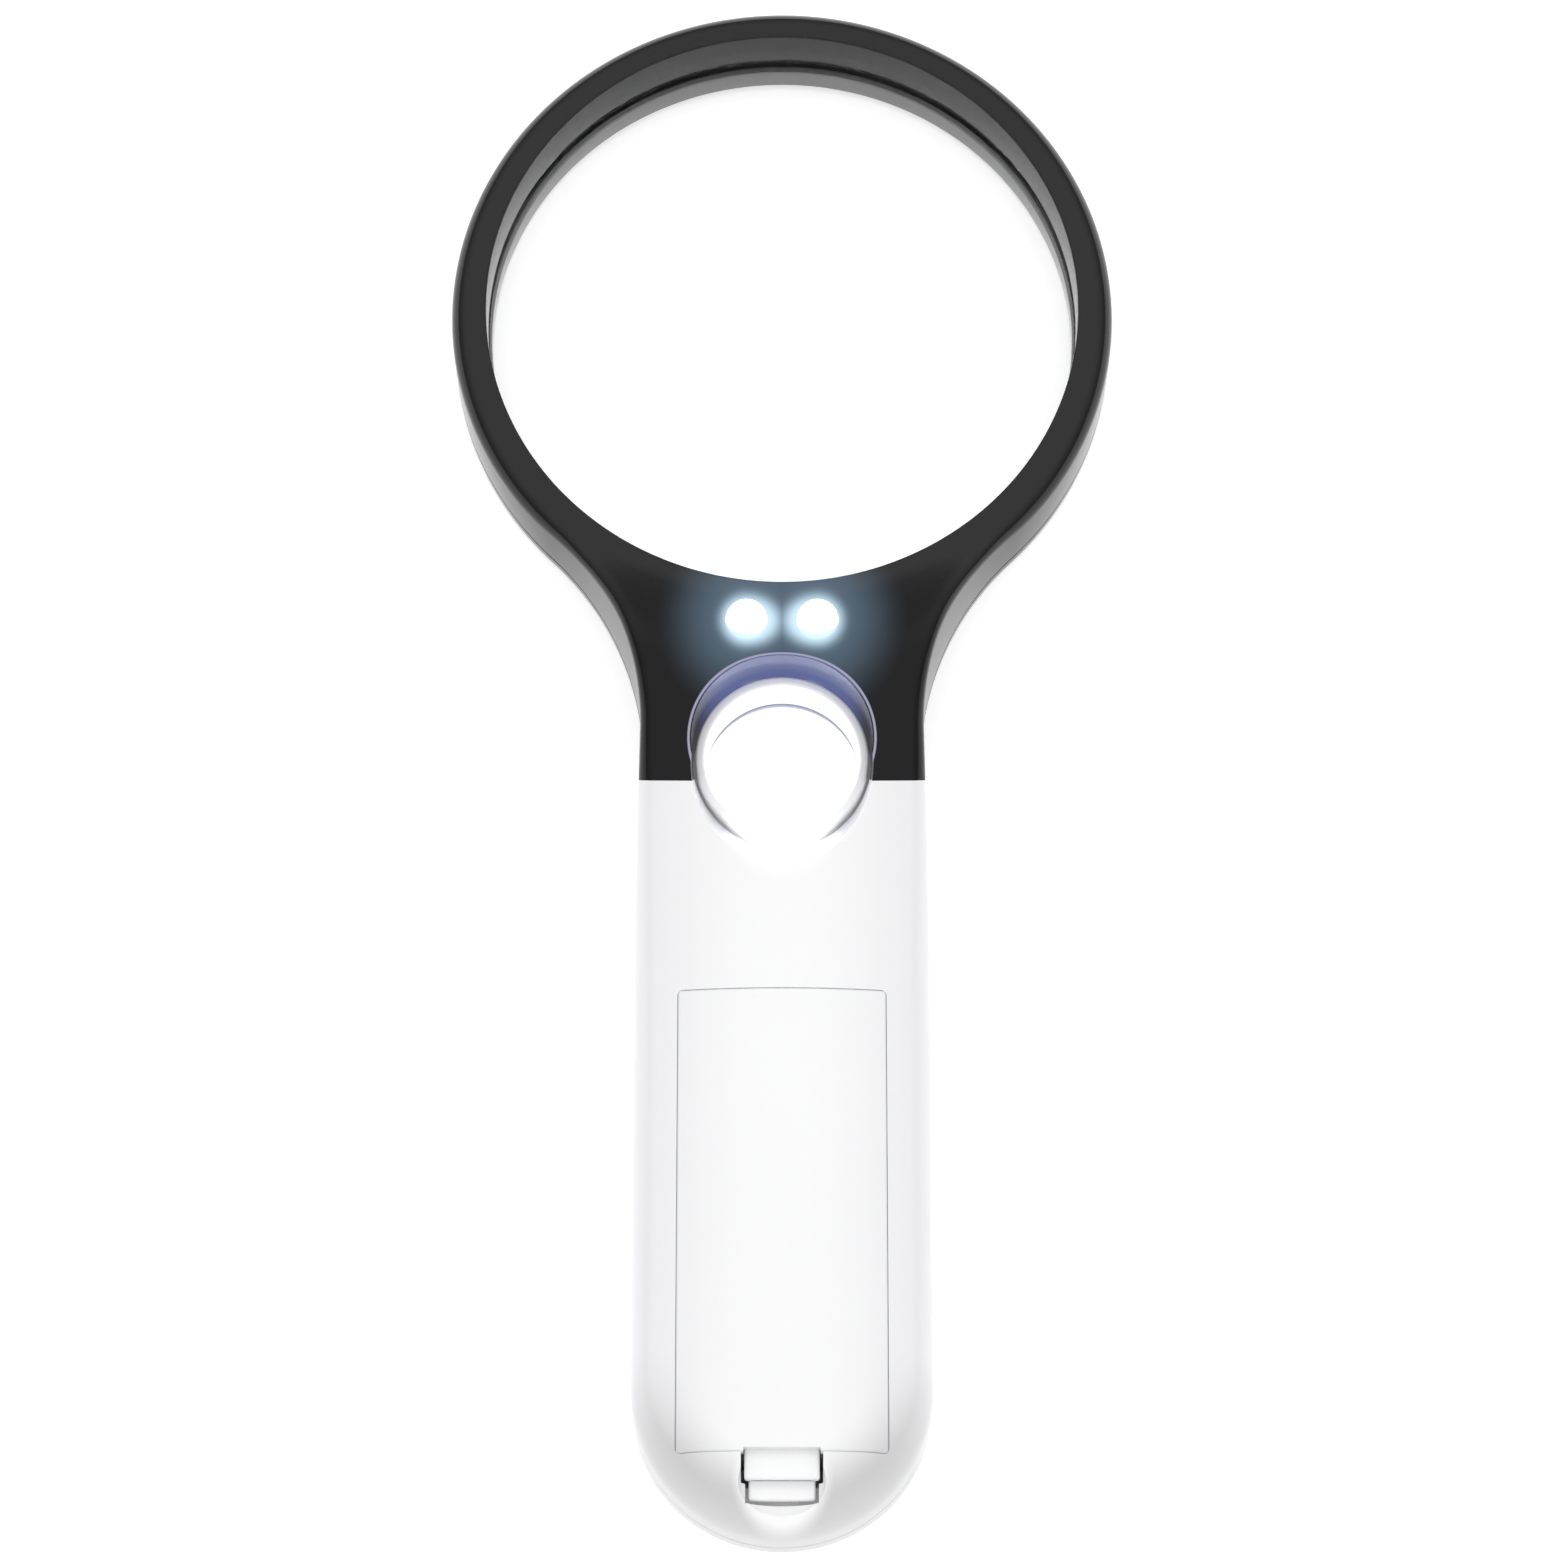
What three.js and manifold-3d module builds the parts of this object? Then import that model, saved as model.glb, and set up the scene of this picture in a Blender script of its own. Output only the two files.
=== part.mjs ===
// Illuminated hand magnifier: a round main lens in a black frame, a small strong loupe lens in the neck, three
// white LEDs, and a white two-shell handle with a battery bay, a hinged door with a latch, and a slide switch.
// Millimetres, +Z up. The part lies on its front: the battery door and the LEDs face up, the switch faces down.
// Inside the inner group the main lens's axis is X = 0, Y = 0, and the handle runs towards -Y.
import * as THREE from "three";
import { mergeVertices } from "three/addons/utils/BufferGeometryUtils.js";
import Module from "manifold-3d";

const wasm = await Module();
wasm.setup();

// ---------------------------------------------------------------- driving dimensions
const GAP = 0.3; // clearance between pieces that touch
const FAR = 400; // longer than anything here
const RING_SEGMENTS = 48;

const RING_R = 42; // lens frame, outside
const RING_T = 14; // lens frame, thickness
const APERTURE_R = 37.5; // opening over the lens, seen from the back
const RIM_DROP = 0.6; // the back band falls this much towards its outer edge
const RIM_FILLET = 2.2;
const FRONT_FILLET = 1.6;
const FRONT_T = 3; // front frame's plate

const LENS_R = 38.2;
const LENS_EDGE = 2;
const LENS_SAG = 4.2;
const LENS_LIP = 1; // how far the front lip reaches under the lens

const BODY_START = -0.62 * RING_R; // where the neck begins inside the ring
// Places along the handle, each from the one before.
const LOUPE_Y = -RING_R - 18.6;
const SEAM_Y = LOUPE_Y - 6.4;
const BOARD_TOP = SEAM_Y - 15.2;
const SWITCH_Y = SEAM_Y - 19; // centre of the travel
const DOOR_TOP = SEAM_Y - 26.4;
const GRIP_FULL = SEAM_Y - 28; // from here on the grip has its full width and height
const BAY_TOP = DOOR_TOP - 3.8; // faces of the two bulkheads
const DOOR_END = DOOR_TOP - 56.2;
const END_Y = DOOR_END + 9; // centre of the round end

const NECK_W = 17.4; // half width at the neck
const GRIP_W = 17.9; // half width of the grip
const NECK_FILLET = 38.5; // plan radius between ring and neck
const BODY_T = 24.6; // thickness of the grip
const NECK_START_T = 13.5;
const SECTION_POWER = 3.4; // superellipse power of the cross-section
const END_POWER = 3.2; // side profile of the round end
const TIP_SHARE = 0.9; // height of the tip's centre, as a share of the grip's mid height
const WALL = 2.2;

const SLOPE = 0.62; // the LED face rises this much per millimetre of radius
const SLOPE_START = RING_R - 3.5;

const SEAM_Z = 22.9;
const SEAM_LEAN = THREE.MathUtils.degToRad(20);
const SPLIT_Z = 11.5; // parting plane of the two handle shells

const LOUPE_R = 10.5; // small lens
const LOUPE_EDGE = 2;
const LOUPE_SAG = 2.2;
const POCKET_R = 11.1;
const POCKET_WALL = 1.5;
const POCKET_LEAN = THREE.MathUtils.degToRad(25);
const BARREL_TOP = 13.2;
const BARREL_WALL = 1.1;
const FLANGE_R = 12.8;
const FLANGE_T = 1.5;
const EYE_LIP = 1.1; // how far the eyepiece ring covers the small lens
const EYE_FLOOR = 2;

const LED_R = 2.5;
const LED_FLANGE_R = 2.9;
const LED_FLANGE_T = 1;
const LED_L = 8;
const LED_SHOWN = 2.6; // length that stands out of its hole
const LED_X = 4.4;
const LED_RADIUS = RING_R + 2; // distance of the main LEDs from the main lens's axis
const LOUPE_LED_Z = 17.2;
const LEAD = 0.5;
const LEAD_PITCH = 2.54;

const DOOR_T = 1.8;
const CELL_R = 5.15; // AAA
const CELL_L = 44.5;
const CELL_NUB_R = 1.9;
const CELL_NUB_L = 0.9;
const CELL_X = 5.4;
const CELL_Z = BODY_T - DOOR_T - CELL_R - 0.55;
const CELL_PITCH = 10.5;
const BAY_L = 50;
const BULKHEAD_T = 1.8;
const BULKHEAD_TOP = CELL_Z + 0.8;
const PLATE_T = 0.4;
const CONTACT_TOP = CELL_Z + 2.7;
const SPRING_WIRE_R = 0.32;
const SPRING_TURNS = 3;

const DOOR_W = 12.5; // half width
const LEDGE_W = 1.3;
const LEDGE_T = 1.2;
const HOOK_X = 8.2;
const HOOK_W = 4;

const LATCH_W = 4.4; // half width of the spring strip
const LATCH_PAD_W = 3.9;
const LATCH_STRIP_L = 2.4;
const LATCH_PAD_L = 2.8;
const LATCH_T = 1.2;
const LATCH_Z = BODY_T - 1.7; // top of the spring strip
const LATCH_DROP = 1.5; // the finger pad's top lies this far below
const LATCH_LEG = 9.5;
const SLOT_SIDE = 0.4; // gap beside the latch
const THUMB_R = 5.3; // finger scoop round the latch's pad
const THUMB_Y = DOOR_END - 4;
const THUMB_Z = BODY_T - 1;

const SCREW_X = 9.3;
const SCREW_INSET = 8; // from each bulkhead
const SCREW_R = 1;
const SCREW_L = 6.6;
const SCREW_HEAD_R = 2.05;
const SCREW_HEAD_T = 1.2;
const BOSS_R = 2.4;
const TAB_T = 1.6;
const TAB_Z = 8.6;

const SWITCH_TRAVEL = 3.5;
const KNOB_W = 6.4;
const KNOB_L = 6.6;
const KNOB_RIBS = 4;
const DISH_Z = 1.9; // floor of the dish that the knob runs in
const DISH_W = 9.6;
const DISH_L = 16;
const STEM = 1.9;
const LEVER = 1;

const BOARD_Z = 9.4;
const BOARD_T = 1.2;
const BOARD_W = 9;
const BOARD_L = 11;
const WIRE_R = 0.55;

// ---------------------------------------------------------------- materials
const finish = (color, roughness, metalness = 0, more = {}) =>
  new THREE.MeshStandardMaterial({ color, roughness, metalness, ...more });
const BLACK = finish(0x17181a, 0.22);
const WHITE = finish(0xf1f0f0, 0.38);
const CLEAR = finish(0xf4f8fb, 0.02, 0, { transparent: true, opacity: 0.35 });
const EPOXY = finish(0xf2f7ff, 0.12, 0, { emissive: 0xbfe4ff });
const STEEL = finish(0xc9ccd0, 0.28, 1);
const CELL = finish(0x1f5e3c, 0.35, 0.2);
const BOARD = finish(0xb98f4b, 0.55);
const SWITCH_METAL = finish(0xb9bcc0, 0.35, 1);
const RED = finish(0xb3261e, 0.5);
const DARK = finish(0x161616, 0.5);
const CERAMIC = finish(0xd8c39a, 0.5);

// ---------------------------------------------------------------- solids
// A closed geometry as a manifold-3d solid, with its faces turned outwards.
function solid(geometry) {
  const bare = geometry.index ? geometry.toNonIndexed() : geometry.clone();
  bare.deleteAttribute("normal");
  bare.deleteAttribute("uv");
  const merged = mergeVertices(bare, 1e-4);
  const at = merged.attributes.position.array;
  const kept = [];
  const index = merged.index.array;
  for (let i = 0; i < index.length; i += 3) {
    const [a, b, c] = [index[i], index[i + 1], index[i + 2]];
    if (a !== b && b !== c && a !== c) kept.push(a, b, c);
  }
  let volume = 0;
  const point = (i) => new THREE.Vector3().fromArray(at, 3 * i);
  for (let i = 0; i < kept.length; i += 3) {
    volume += point(kept[i]).dot(point(kept[i + 1]).cross(point(kept[i + 2])));
  }
  if (volume < 0) kept.reverse();
  return new wasm.Manifold(
    new wasm.Mesh({ numProp: 3, vertProperties: at, triVerts: new Uint32Array(kept) }),
  );
}

function box(x0, x1, y0, y1, z0, z1) {
  const shape = new THREE.BoxGeometry(x1 - x0, y1 - y0, z1 - z0);
  return solid(shape.translate((x0 + x1) / 2, (y0 + y1) / 2, (z0 + z1) / 2));
}

// A box on both sides of X = 0.
const pair = (x0, x1, y0, y1, z0, z1) =>
  box(x0, x1, y0, y1, z0, z1).add(box(-x1, -x0, y0, y1, z0, z1));

// A profile of [radius, height] turned about Z, then moved.
function turned(profile, segments, x = 0, y = 0, z = 0) {
  const points = profile.map(([r, h]) => new THREE.Vector2(r, h));
  const shape = new THREE.LatheGeometry(points, segments);
  return solid(shape.rotateX(Math.PI / 2).translate(x, y, z));
}

const closed = (profile) => [...profile, profile[0]];

const disc = (r, z0, z1, segments, x = 0, y = 0) =>
  turned([[0, z0], [r, z0], [r, z1], [0, z1]], segments, x, y);

const tubeRing = (r0, r1, z0, z1, segments, x = 0, y = 0) =>
  turned(closed([[r0, z0], [r1, z0], [r1, z1], [r0, z1]]), segments, x, y);

// A profile turned about an axis that starts at a point and leans in the YZ plane.
function leaning(profile, segments, at, direction) {
  const points = profile.map(([r, h]) => new THREE.Vector2(r, h));
  const shape = new THREE.LatheGeometry(points, segments).rotateX(Math.PI / 2);
  const turn = new THREE.Quaternion().setFromUnitVectors(
    new THREE.Vector3(0, 0, 1),
    new THREE.Vector3(...direction).normalize(),
  );
  return solid(shape.applyQuaternion(turn).translate(...at));
}

// Equal arcs of a fillet in a turned profile, from one angle to another in degrees.
function arc(r, z, radius, from, to, steps) {
  const points = [];
  for (let i = 0; i <= steps; i += 1) {
    const a = THREE.MathUtils.degToRad(from + ((to - from) * i) / steps);
    points.push([r + radius * Math.cos(a), z + radius * Math.sin(a)]);
  }
  return points;
}

// A round wire along a smooth line of points.
function wire(points, radius, steps, sides) {
  const path = new THREE.CatmullRomCurve3(points.map((p) => new THREE.Vector3(...p)));
  const section = new THREE.Shape();
  for (let i = 0; i < sides; i += 1) {
    const a = (2 * Math.PI * i) / sides;
    section[i ? "lineTo" : "moveTo"](radius * Math.cos(a), radius * Math.sin(a));
  }
  section.closePath();
  return solid(new THREE.ExtrudeGeometry(section, { steps, bevelEnabled: false, extrudePath: path }));
}

// Rings of equal point count joined into one closed skin.
function loft(rings) {
  const count = rings[0].length;
  const points = rings.flat();
  const faces = [];
  for (let k = 0; k + 1 < rings.length; k += 1) {
    for (let i = 0; i < count; i += 1) {
      const [a, b] = [k * count + i, k * count + ((i + 1) % count)];
      faces.push(a, b, b + count, a, b + count, a + count);
    }
  }
  for (const [ring, base] of [[rings[0], 0], [rings.at(-1), points.length - count]]) {
    const centre = ring.reduce((sum, p) => sum.map((s, j) => s + p[j] / count), [0, 0, 0]);
    points.push(centre);
    for (let i = 0; i < count; i += 1) {
      const [a, b] = [base + i, base + ((i + 1) % count)];
      faces.push(...(base ? [a, b, points.length - 1] : [b, a, points.length - 1]));
    }
  }
  const shape = new THREE.BufferGeometry();
  shape.setAttribute("position", new THREE.Float32BufferAttribute(points.flat(), 3));
  shape.setIndex(faces);
  return solid(shape);
}

// ---------------------------------------------------------------- the body's outer form
// Half width of neck and grip at a place along the handle.
function halfWidth(y) {
  const reach = NECK_W + NECK_FILLET;
  const side = RING_R + NECK_FILLET;
  const filletY = -Math.sqrt(side * side - reach * reach);
  if (y > filletY) {
    const tangentY = (filletY * RING_R) / side;
    const from = Math.min(y, tangentY);
    return reach - Math.sqrt(NECK_FILLET ** 2 - (from - filletY) ** 2);
  }
  const t = Math.min(1, (y - filletY) / (GRIP_FULL - filletY));
  return NECK_W + (GRIP_W - NECK_W) * Math.sin((Math.PI / 2) * t);
}

// Height of the back at a place along the handle.
function backHeight(y) {
  const t = THREE.MathUtils.clamp((y - BODY_START) / (GRIP_FULL - BODY_START), 0, 1);
  return NECK_START_T + (BODY_T - NECK_START_T) * Math.sin((Math.PI / 2) * t);
}

const RING_POINTS = 24;

// One cross-section, drawn in by a wall thickness.
function section(y, inset, share = 1, drop = 1) {
  const w = (halfWidth(y) - inset) * share;
  const h = (backHeight(y) / 2 - inset) * drop;
  const mid = (backHeight(y) / 2) * (TIP_SHARE + (1 - TIP_SHARE) * drop);
  const points = [];
  for (let i = 0; i < RING_POINTS; i += 1) {
    const a = (2 * Math.PI * i) / RING_POINTS;
    const bend = (v) => Math.sign(v) * Math.abs(v) ** (2 / SECTION_POWER);
    points.push([w * bend(Math.cos(a)), y, mid + h * bend(Math.sin(a))]);
  }
  return points;
}

const NECK_SHARES = [0, 0.1, 0.2, 0.3, 0.42, 0.56, 0.72, 0.86, 1];
const BODY_STATIONS = [
  ...NECK_SHARES.map((share) => BODY_START + share * (SEAM_Y - BODY_START)),
  SEAM_Y - 9, SEAM_Y - 18, GRIP_FULL, (GRIP_FULL + END_Y) / 2, END_Y,
];
const END_ANGLES = [18, 30, 42, 54, 66, 76, 86];
const TIP_SHARE_MAX = 0.994;

// Neck and grip as one solid, drawn in by a wall thickness.
function body(inset) {
  const rings = BODY_STATIONS.map((y) => section(y, inset));
  const radius = GRIP_W - inset;
  const shares = END_ANGLES.map((a) => (GRIP_W * Math.sin(THREE.MathUtils.degToRad(a))) / radius);
  for (const s of [...shares.filter((share) => share < TIP_SHARE_MAX - 0.01), TIP_SHARE_MAX]) {
    const rise = (1 - s ** END_POWER) ** (1 / END_POWER);
    const ring = section(END_Y, inset, Math.sqrt(1 - s * s), rise);
    rings.push(ring.map(([x, , z]) => [x, END_Y - radius * s, z]));
  }
  return loft(rings);
}

const OUTER = body(0);
const INNER = body(WALL);
const BAY_CLEAR = body(DOOR_T + LEDGE_T + 3 * GAP);

// Everything on one side of the leaning seam: 1 is the ring's side and -1 the handle's.
function seamSide(side, offset = 0) {
  const shape = new THREE.BoxGeometry(FAR, FAR, FAR);
  shape.translate(0, side * (FAR / 2 + GAP / 2 + offset), 0).rotateX(SEAM_LEAN);
  return solid(shape.translate(0, SEAM_Y, SEAM_Z));
}
const RING_SIDE = seamSide(1);
const GRIP_SIDE = seamSide(-1);
const above = (z) => box(-FAR, FAR, -FAR, FAR, z, FAR);
const below = (z) => box(-FAR, FAR, -FAR, FAR, -FAR, z);

// The loupe's well: upright, and leaning towards the grip so that light reaches the subject.
function well(radius, from) {
  const lean = [0, -Math.sin(POCKET_LEAN), Math.cos(POCKET_LEAN)];
  const start = [0, LOUPE_Y, BARREL_TOP + GAP];
  const profile = [[0, 0], [radius, 0], [radius, BODY_T], [0, BODY_T]];
  return disc(radius, from, BODY_T + GAP, 32, 0, LOUPE_Y).add(leaning(profile, 32, start, lean));
}

// ---------------------------------------------------------------- LEDs
const slopeAngle = Math.atan(SLOPE);
const LED_UP = [0, Math.sin(slopeAngle), Math.cos(slopeAngle)];
const ledY = -Math.sqrt(LED_RADIUS ** 2 - LED_X ** 2);
const ledZ = RING_T - RIM_DROP + (LED_RADIUS - SLOPE_START) * SLOPE;
const LOUPE_LED_UP = [0, Math.cos(POCKET_LEAN), Math.sin(POCKET_LEAN)];
const loupeLedY =
  LOUPE_Y - POCKET_R / Math.cos(POCKET_LEAN) - (LOUPE_LED_Z - BARREL_TOP) * Math.tan(POCKET_LEAN);

// Epoxy body with its flange and two leads: the axis leaves the face point, and the leads run back.
function led(at, direction, leadLength) {
  const back = LED_SHOWN - LED_L;
  const dome = arc(0, LED_SHOWN - LED_R, LED_R, 0, 90, 3);
  const profile = [
    [0, back], [LED_FLANGE_R, back], [LED_FLANGE_R, back + LED_FLANGE_T],
    [LED_R, back + LED_FLANGE_T], ...dome.slice(0, -1), [0, LED_SHOWN],
  ];
  let made = leaning(profile, 16, at, direction);
  const turn = new THREE.Quaternion().setFromUnitVectors(
    new THREE.Vector3(0, 0, 1),
    new THREE.Vector3(...direction),
  );
  for (const side of [-1, 1]) {
    const lead = new THREE.BoxGeometry(LEAD, LEAD, leadLength + GAP);
    lead.translate((side * LEAD_PITCH) / 2, 0, back - leadLength / 2 + GAP / 2);
    made = made.add(solid(lead.applyQuaternion(turn).translate(...at)));
  }
  return made;
}

function ledHole(at, direction) {
  const [r, step] = [LED_FLANGE_R + GAP, LED_SHOWN - LED_L + LED_FLANGE_T + GAP];
  const profile = [
    [0, -LED_L], [r, -LED_L], [r, step], [LED_R + GAP, step], [LED_R + GAP, LED_L], [0, LED_L],
  ];
  return leaning(profile, 16, at, direction);
}

// ---------------------------------------------------------------- lens frame
// The ring and neck before they are hollowed or split.
function frameBlank() {
  const slopeCut = turned(
    [
      [0, RING_T - RIM_DROP], [SLOPE_START, RING_T - RIM_DROP],
      [SLOPE_START + FAR / 4, RING_T - RIM_DROP + (FAR / 4) * SLOPE], [0, FAR],
    ],
    RING_SEGMENTS,
  );
  const neck = OUTER.intersect(RING_SIDE).subtract(slopeCut);
  const ring = turned(
    [
      [0, 0], ...arc(RING_R - FRONT_FILLET, FRONT_FILLET, FRONT_FILLET, -90, 0, 2),
      ...arc(RING_R - RIM_FILLET, RING_T - RIM_DROP - RIM_FILLET, RIM_FILLET, 0, 90, 3),
      [APERTURE_R, RING_T], [0, RING_T],
    ],
    RING_SEGMENTS,
  );
  return neck.add(ring);
}

const LENS_SEAT = 4.6; // top of the front lip
const LENS_TOP = LENS_SEAT + GAP + LENS_EDGE;
const FRAME = frameBlank();

function lensFrame() {
  const cavity = INNER.intersect(seamSide(1, -FAR / 8))
    .subtract(
      turned(
        [
          [0, -1], [RING_R - 1, -1], [RING_R - 1, RING_T - RIM_DROP - WALL],
          [RING_R - 1 + FAR / 4, RING_T - RIM_DROP - WALL + (FAR / 4) * SLOPE], [0, FAR],
        ],
        RING_SEGMENTS,
      ),
    )
    .subtract(well(POCKET_R + POCKET_WALL, BARREL_TOP - FLANGE_T - 4));
  const seat = disc(LENS_R + 0.7, -1, LENS_TOP + GAP, RING_SEGMENTS);
  const aperture = disc(APERTURE_R, 0, RING_T + 1, RING_SEGMENTS);
  let made = FRAME.intersect(above(FRONT_T + GAP / 2)).subtract(cavity).subtract(seat).subtract(aperture);
  made = made.subtract(well(POCKET_R, -1)).subtract(disc(FLANGE_R + GAP, -1, flangeTop + GAP, 32, 0, LOUPE_Y));
  for (const side of [-1, 1]) made = made.subtract(ledHole([side * LED_X, ledY, ledZ], LED_UP));
  // Two prongs reach past the loupe into the grip and end in tabs with peg holes.
  const prongIn = FLANGE_R + GAP + 0.2;
  const prongOut = NECK_W - WALL - GAP;
  made = made
    .add(pair(prongIn, NECK_W - 1, PRONG_ROOT, PRONG_ROOT + 7, PRONG_Z0, PRONG_Z1))
    .add(pair(prongIn, prongOut, TAB_START - 1, PRONG_ROOT + 4, PRONG_Z0, PRONG_Z1))
    .add(pair(PEG_X - 2.3, prongOut, TAB_START - PEG_TAB_L, TAB_START, PRONG_Z0, PRONG_Z0 + 2));
  for (const side of [-1, 1]) made = made.subtract(disc(PEG_R + GAP, 0, BODY_T, 12, side * PEG_X, PEG_Y));
  return made;
}

const flangeBottom = 6.3;
const flangeTop = flangeBottom + FLANGE_T;
const PRONG_ROOT = LOUPE_Y - 0.2;
const PRONG_Z0 = 9;
const PRONG_Z1 = 13.8;
const TAB_START = SEAM_Y - 6;
const PEG_TAB_L = 6.6;
const PEG_X = 12.4;
const PEG_Y = TAB_START - 3.4;
const PEG_R = 1.2;

function frontFrame() {
  const hole = disc(LENS_R - LENS_LIP, -1, BODY_T, RING_SEGMENTS);
  const inside = LENS_R - LENS_LIP;
  const outside = LENS_R + 0.4;
  const collar = turned(
    closed([[inside, 1], [outside, 1], [outside, LENS_SEAT], [inside, LENS_SEAT - 0.6]]),
    RING_SEGMENTS,
  );
  return FRAME.intersect(below(FRONT_T - GAP / 2))
    .subtract(hole)
    .add(collar)
    .subtract(disc(eyeRingR + GAP, -1, BODY_T, 32, 0, LOUPE_Y))
    .subtract(disc(FLANGE_R + GAP, EYE_FLOOR, BODY_T, 32, 0, LOUPE_Y));
}

// ---------------------------------------------------------------- lenses
function lensProfile(radius, edge, sag, z, steps) {
  const ball = (radius * radius + sag * sag) / (2 * sag);
  const half = THREE.MathUtils.radToDeg(Math.asin(radius / ball));
  const lower = arc(0, z - sag + ball, ball, -90, -90 + half, steps);
  const upper = arc(0, z + edge + sag - ball, ball, 90 - half, 90, steps);
  lower[0][0] = 0;
  upper[steps][0] = 0;
  return [...lower, ...upper];
}

const mainLens = () => turned(lensProfile(LENS_R, LENS_EDGE, LENS_SAG, LENS_SEAT + GAP, 4), 48);

const eyeRingR = FLANGE_R - 1.2;
const eyeSeat = 3.3;
const loupeLens = () =>
  turned(lensProfile(LOUPE_R, LOUPE_EDGE, LOUPE_SAG, eyeSeat + GAP, 3), 28, 0, LOUPE_Y);

// Black ring that frames the small lens on the front.
const eyepieceRing = () =>
  turned(
    closed([
      [LOUPE_R - EYE_LIP, 0.3], [eyeRingR, 0.3], [eyeRingR, EYE_FLOOR + GAP],
      [FLANGE_R, EYE_FLOOR + GAP], [FLANGE_R, 4.6], [LOUPE_R + GAP, 4.6],
      [LOUPE_R + GAP, eyeSeat], [LOUPE_R, eyeSeat], [LOUPE_R - EYE_LIP, eyeSeat - 0.6],
    ]),
    28, 0, LOUPE_Y,
  );

// White tube over the small lens, with a flange that the frame holds down.
const loupeBarrel = () => {
  const outside = POCKET_R - 0.4;
  const bore = outside - BARREL_WALL;
  return turned(
    closed([
      [bore, flangeBottom], [FLANGE_R, flangeBottom], [FLANGE_R, flangeTop],
      [outside, flangeTop], [outside, BARREL_TOP], [bore + 0.3, BARREL_TOP],
    ]),
    28, 0, LOUPE_Y,
  );
};

// ---------------------------------------------------------------- handle shells
const doorBox = (w, top, end, z0) => box(-w, w, end, top, z0, FAR);
const BAY_END = BAY_TOP - BAY_L;
const openingW = DOOR_W - LEDGE_W;
const screwYs = [BAY_TOP - SCREW_INSET, BAY_END + SCREW_INSET];

// The space that the latch's strip, pad and leg need, its catch, and the finger scoop behind it.
function latchRoom() {
  const x = LATCH_W + SLOT_SIDE;
  const wall = legBack - GAP;
  const scoop = new THREE.SphereGeometry(THUMB_R, 20, 12);
  scoop.translate(0, THUMB_Y, THUMB_Z);
  const padX = LATCH_PAD_W + SLOT_SIDE;
  return box(-x, x, wall, DOOR_END + LEDGE_W + 1, LATCH_Z - LATCH_LEG - 0.8, FAR)
    .add(box(-padX, padX, padEnd - 0.5, wall + 0.5, padTopZ - LATCH_T - 1, FAR))
    .add(box(-NIB_W - 0.6, NIB_W + 0.6, wall - 1, wall + 0.5, nibZ - 0.5, nibZ + 1.3))
    .add(solid(scoop));
}

function handleBack() {
  const half = GRIP_SIDE.intersect(above(SPLIT_Z + GAP / 2));
  let made = OUTER.subtract(INNER).intersect(half);
  // Ledge round the battery opening.
  const ledgeZone = doorBox(DOOR_W + 1.6, DOOR_TOP + 1.6, DOOR_END - 1.6, SPLIT_Z + 2);
  made = made.add(OUTER.subtract(body(DOOR_T + 2 * GAP + LEDGE_T)).intersect(ledgeZone));
  made = made.subtract(doorBox(openingW, DOOR_TOP - LEDGE_W, DOOR_END + LEDGE_W, SPLIT_Z));
  const doorCut = OUTER.subtract(body(DOOR_T + 2 * GAP));
  made = made.subtract(doorCut.intersect(doorBox(DOOR_W, DOOR_TOP, DOOR_END, SPLIT_Z)));
  // End wall that closes the latch's room off from the bay, then the room itself.
  const endBlock = box(-LATCH_W - 2.4, LATCH_W + 2.4, -FAR, DOOR_END + 0.2, SPLIT_Z + GAP / 2, FAR);
  made = made.add(OUTER.intersect(endBlock)).subtract(latchRoom());
  // Liner of the loupe's well.
  const liner = well(POCKET_R + POCKET_WALL, flangeTop + GAP).intersect(OUTER).intersect(GRIP_SIDE);
  made = made.add(liner.intersect(above(flangeTop + GAP)));
  made = made.subtract(well(POCKET_R, -1));
  made = made.subtract(ledHole([0, loupeLedY, LOUPE_LED_Z], LOUPE_LED_UP));
  // Four tabs that the screws clamp to the front shell.
  for (const y of screwYs) {
    const [y0, y1] = [y - BOSS_R - 0.4, y + BOSS_R + 0.4];
    const limit = insideAt(y - BOSS_R - 0.4) - 3 * GAP;
    made = made
      .add(pair(SCREW_X - BOSS_R, limit, y0, y1, TAB_Z, TAB_Z + TAB_T))
      .add(pair(limit - 1.4, limit, y0, y1, TAB_Z, SPLIT_Z + 2))
      .add(pair(limit - 1.4, limit + 1.2, y0, y1, SPLIT_Z + GAP, SPLIT_Z + 2));
    for (const side of [-1, 1]) {
      made = made.subtract(disc(SCREW_R + 0.4, 0, SPLIT_Z, 12, side * SCREW_X, y));
    }
  }
  return made;
}

// Half width of the grip's inside at a place along it.
function insideAt(y) {
  const radius = GRIP_W - WALL;
  if (y > END_Y) return halfWidth(y) - WALL;
  return Math.sqrt(radius ** 2 - (y - END_Y) ** 2);
}

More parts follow.
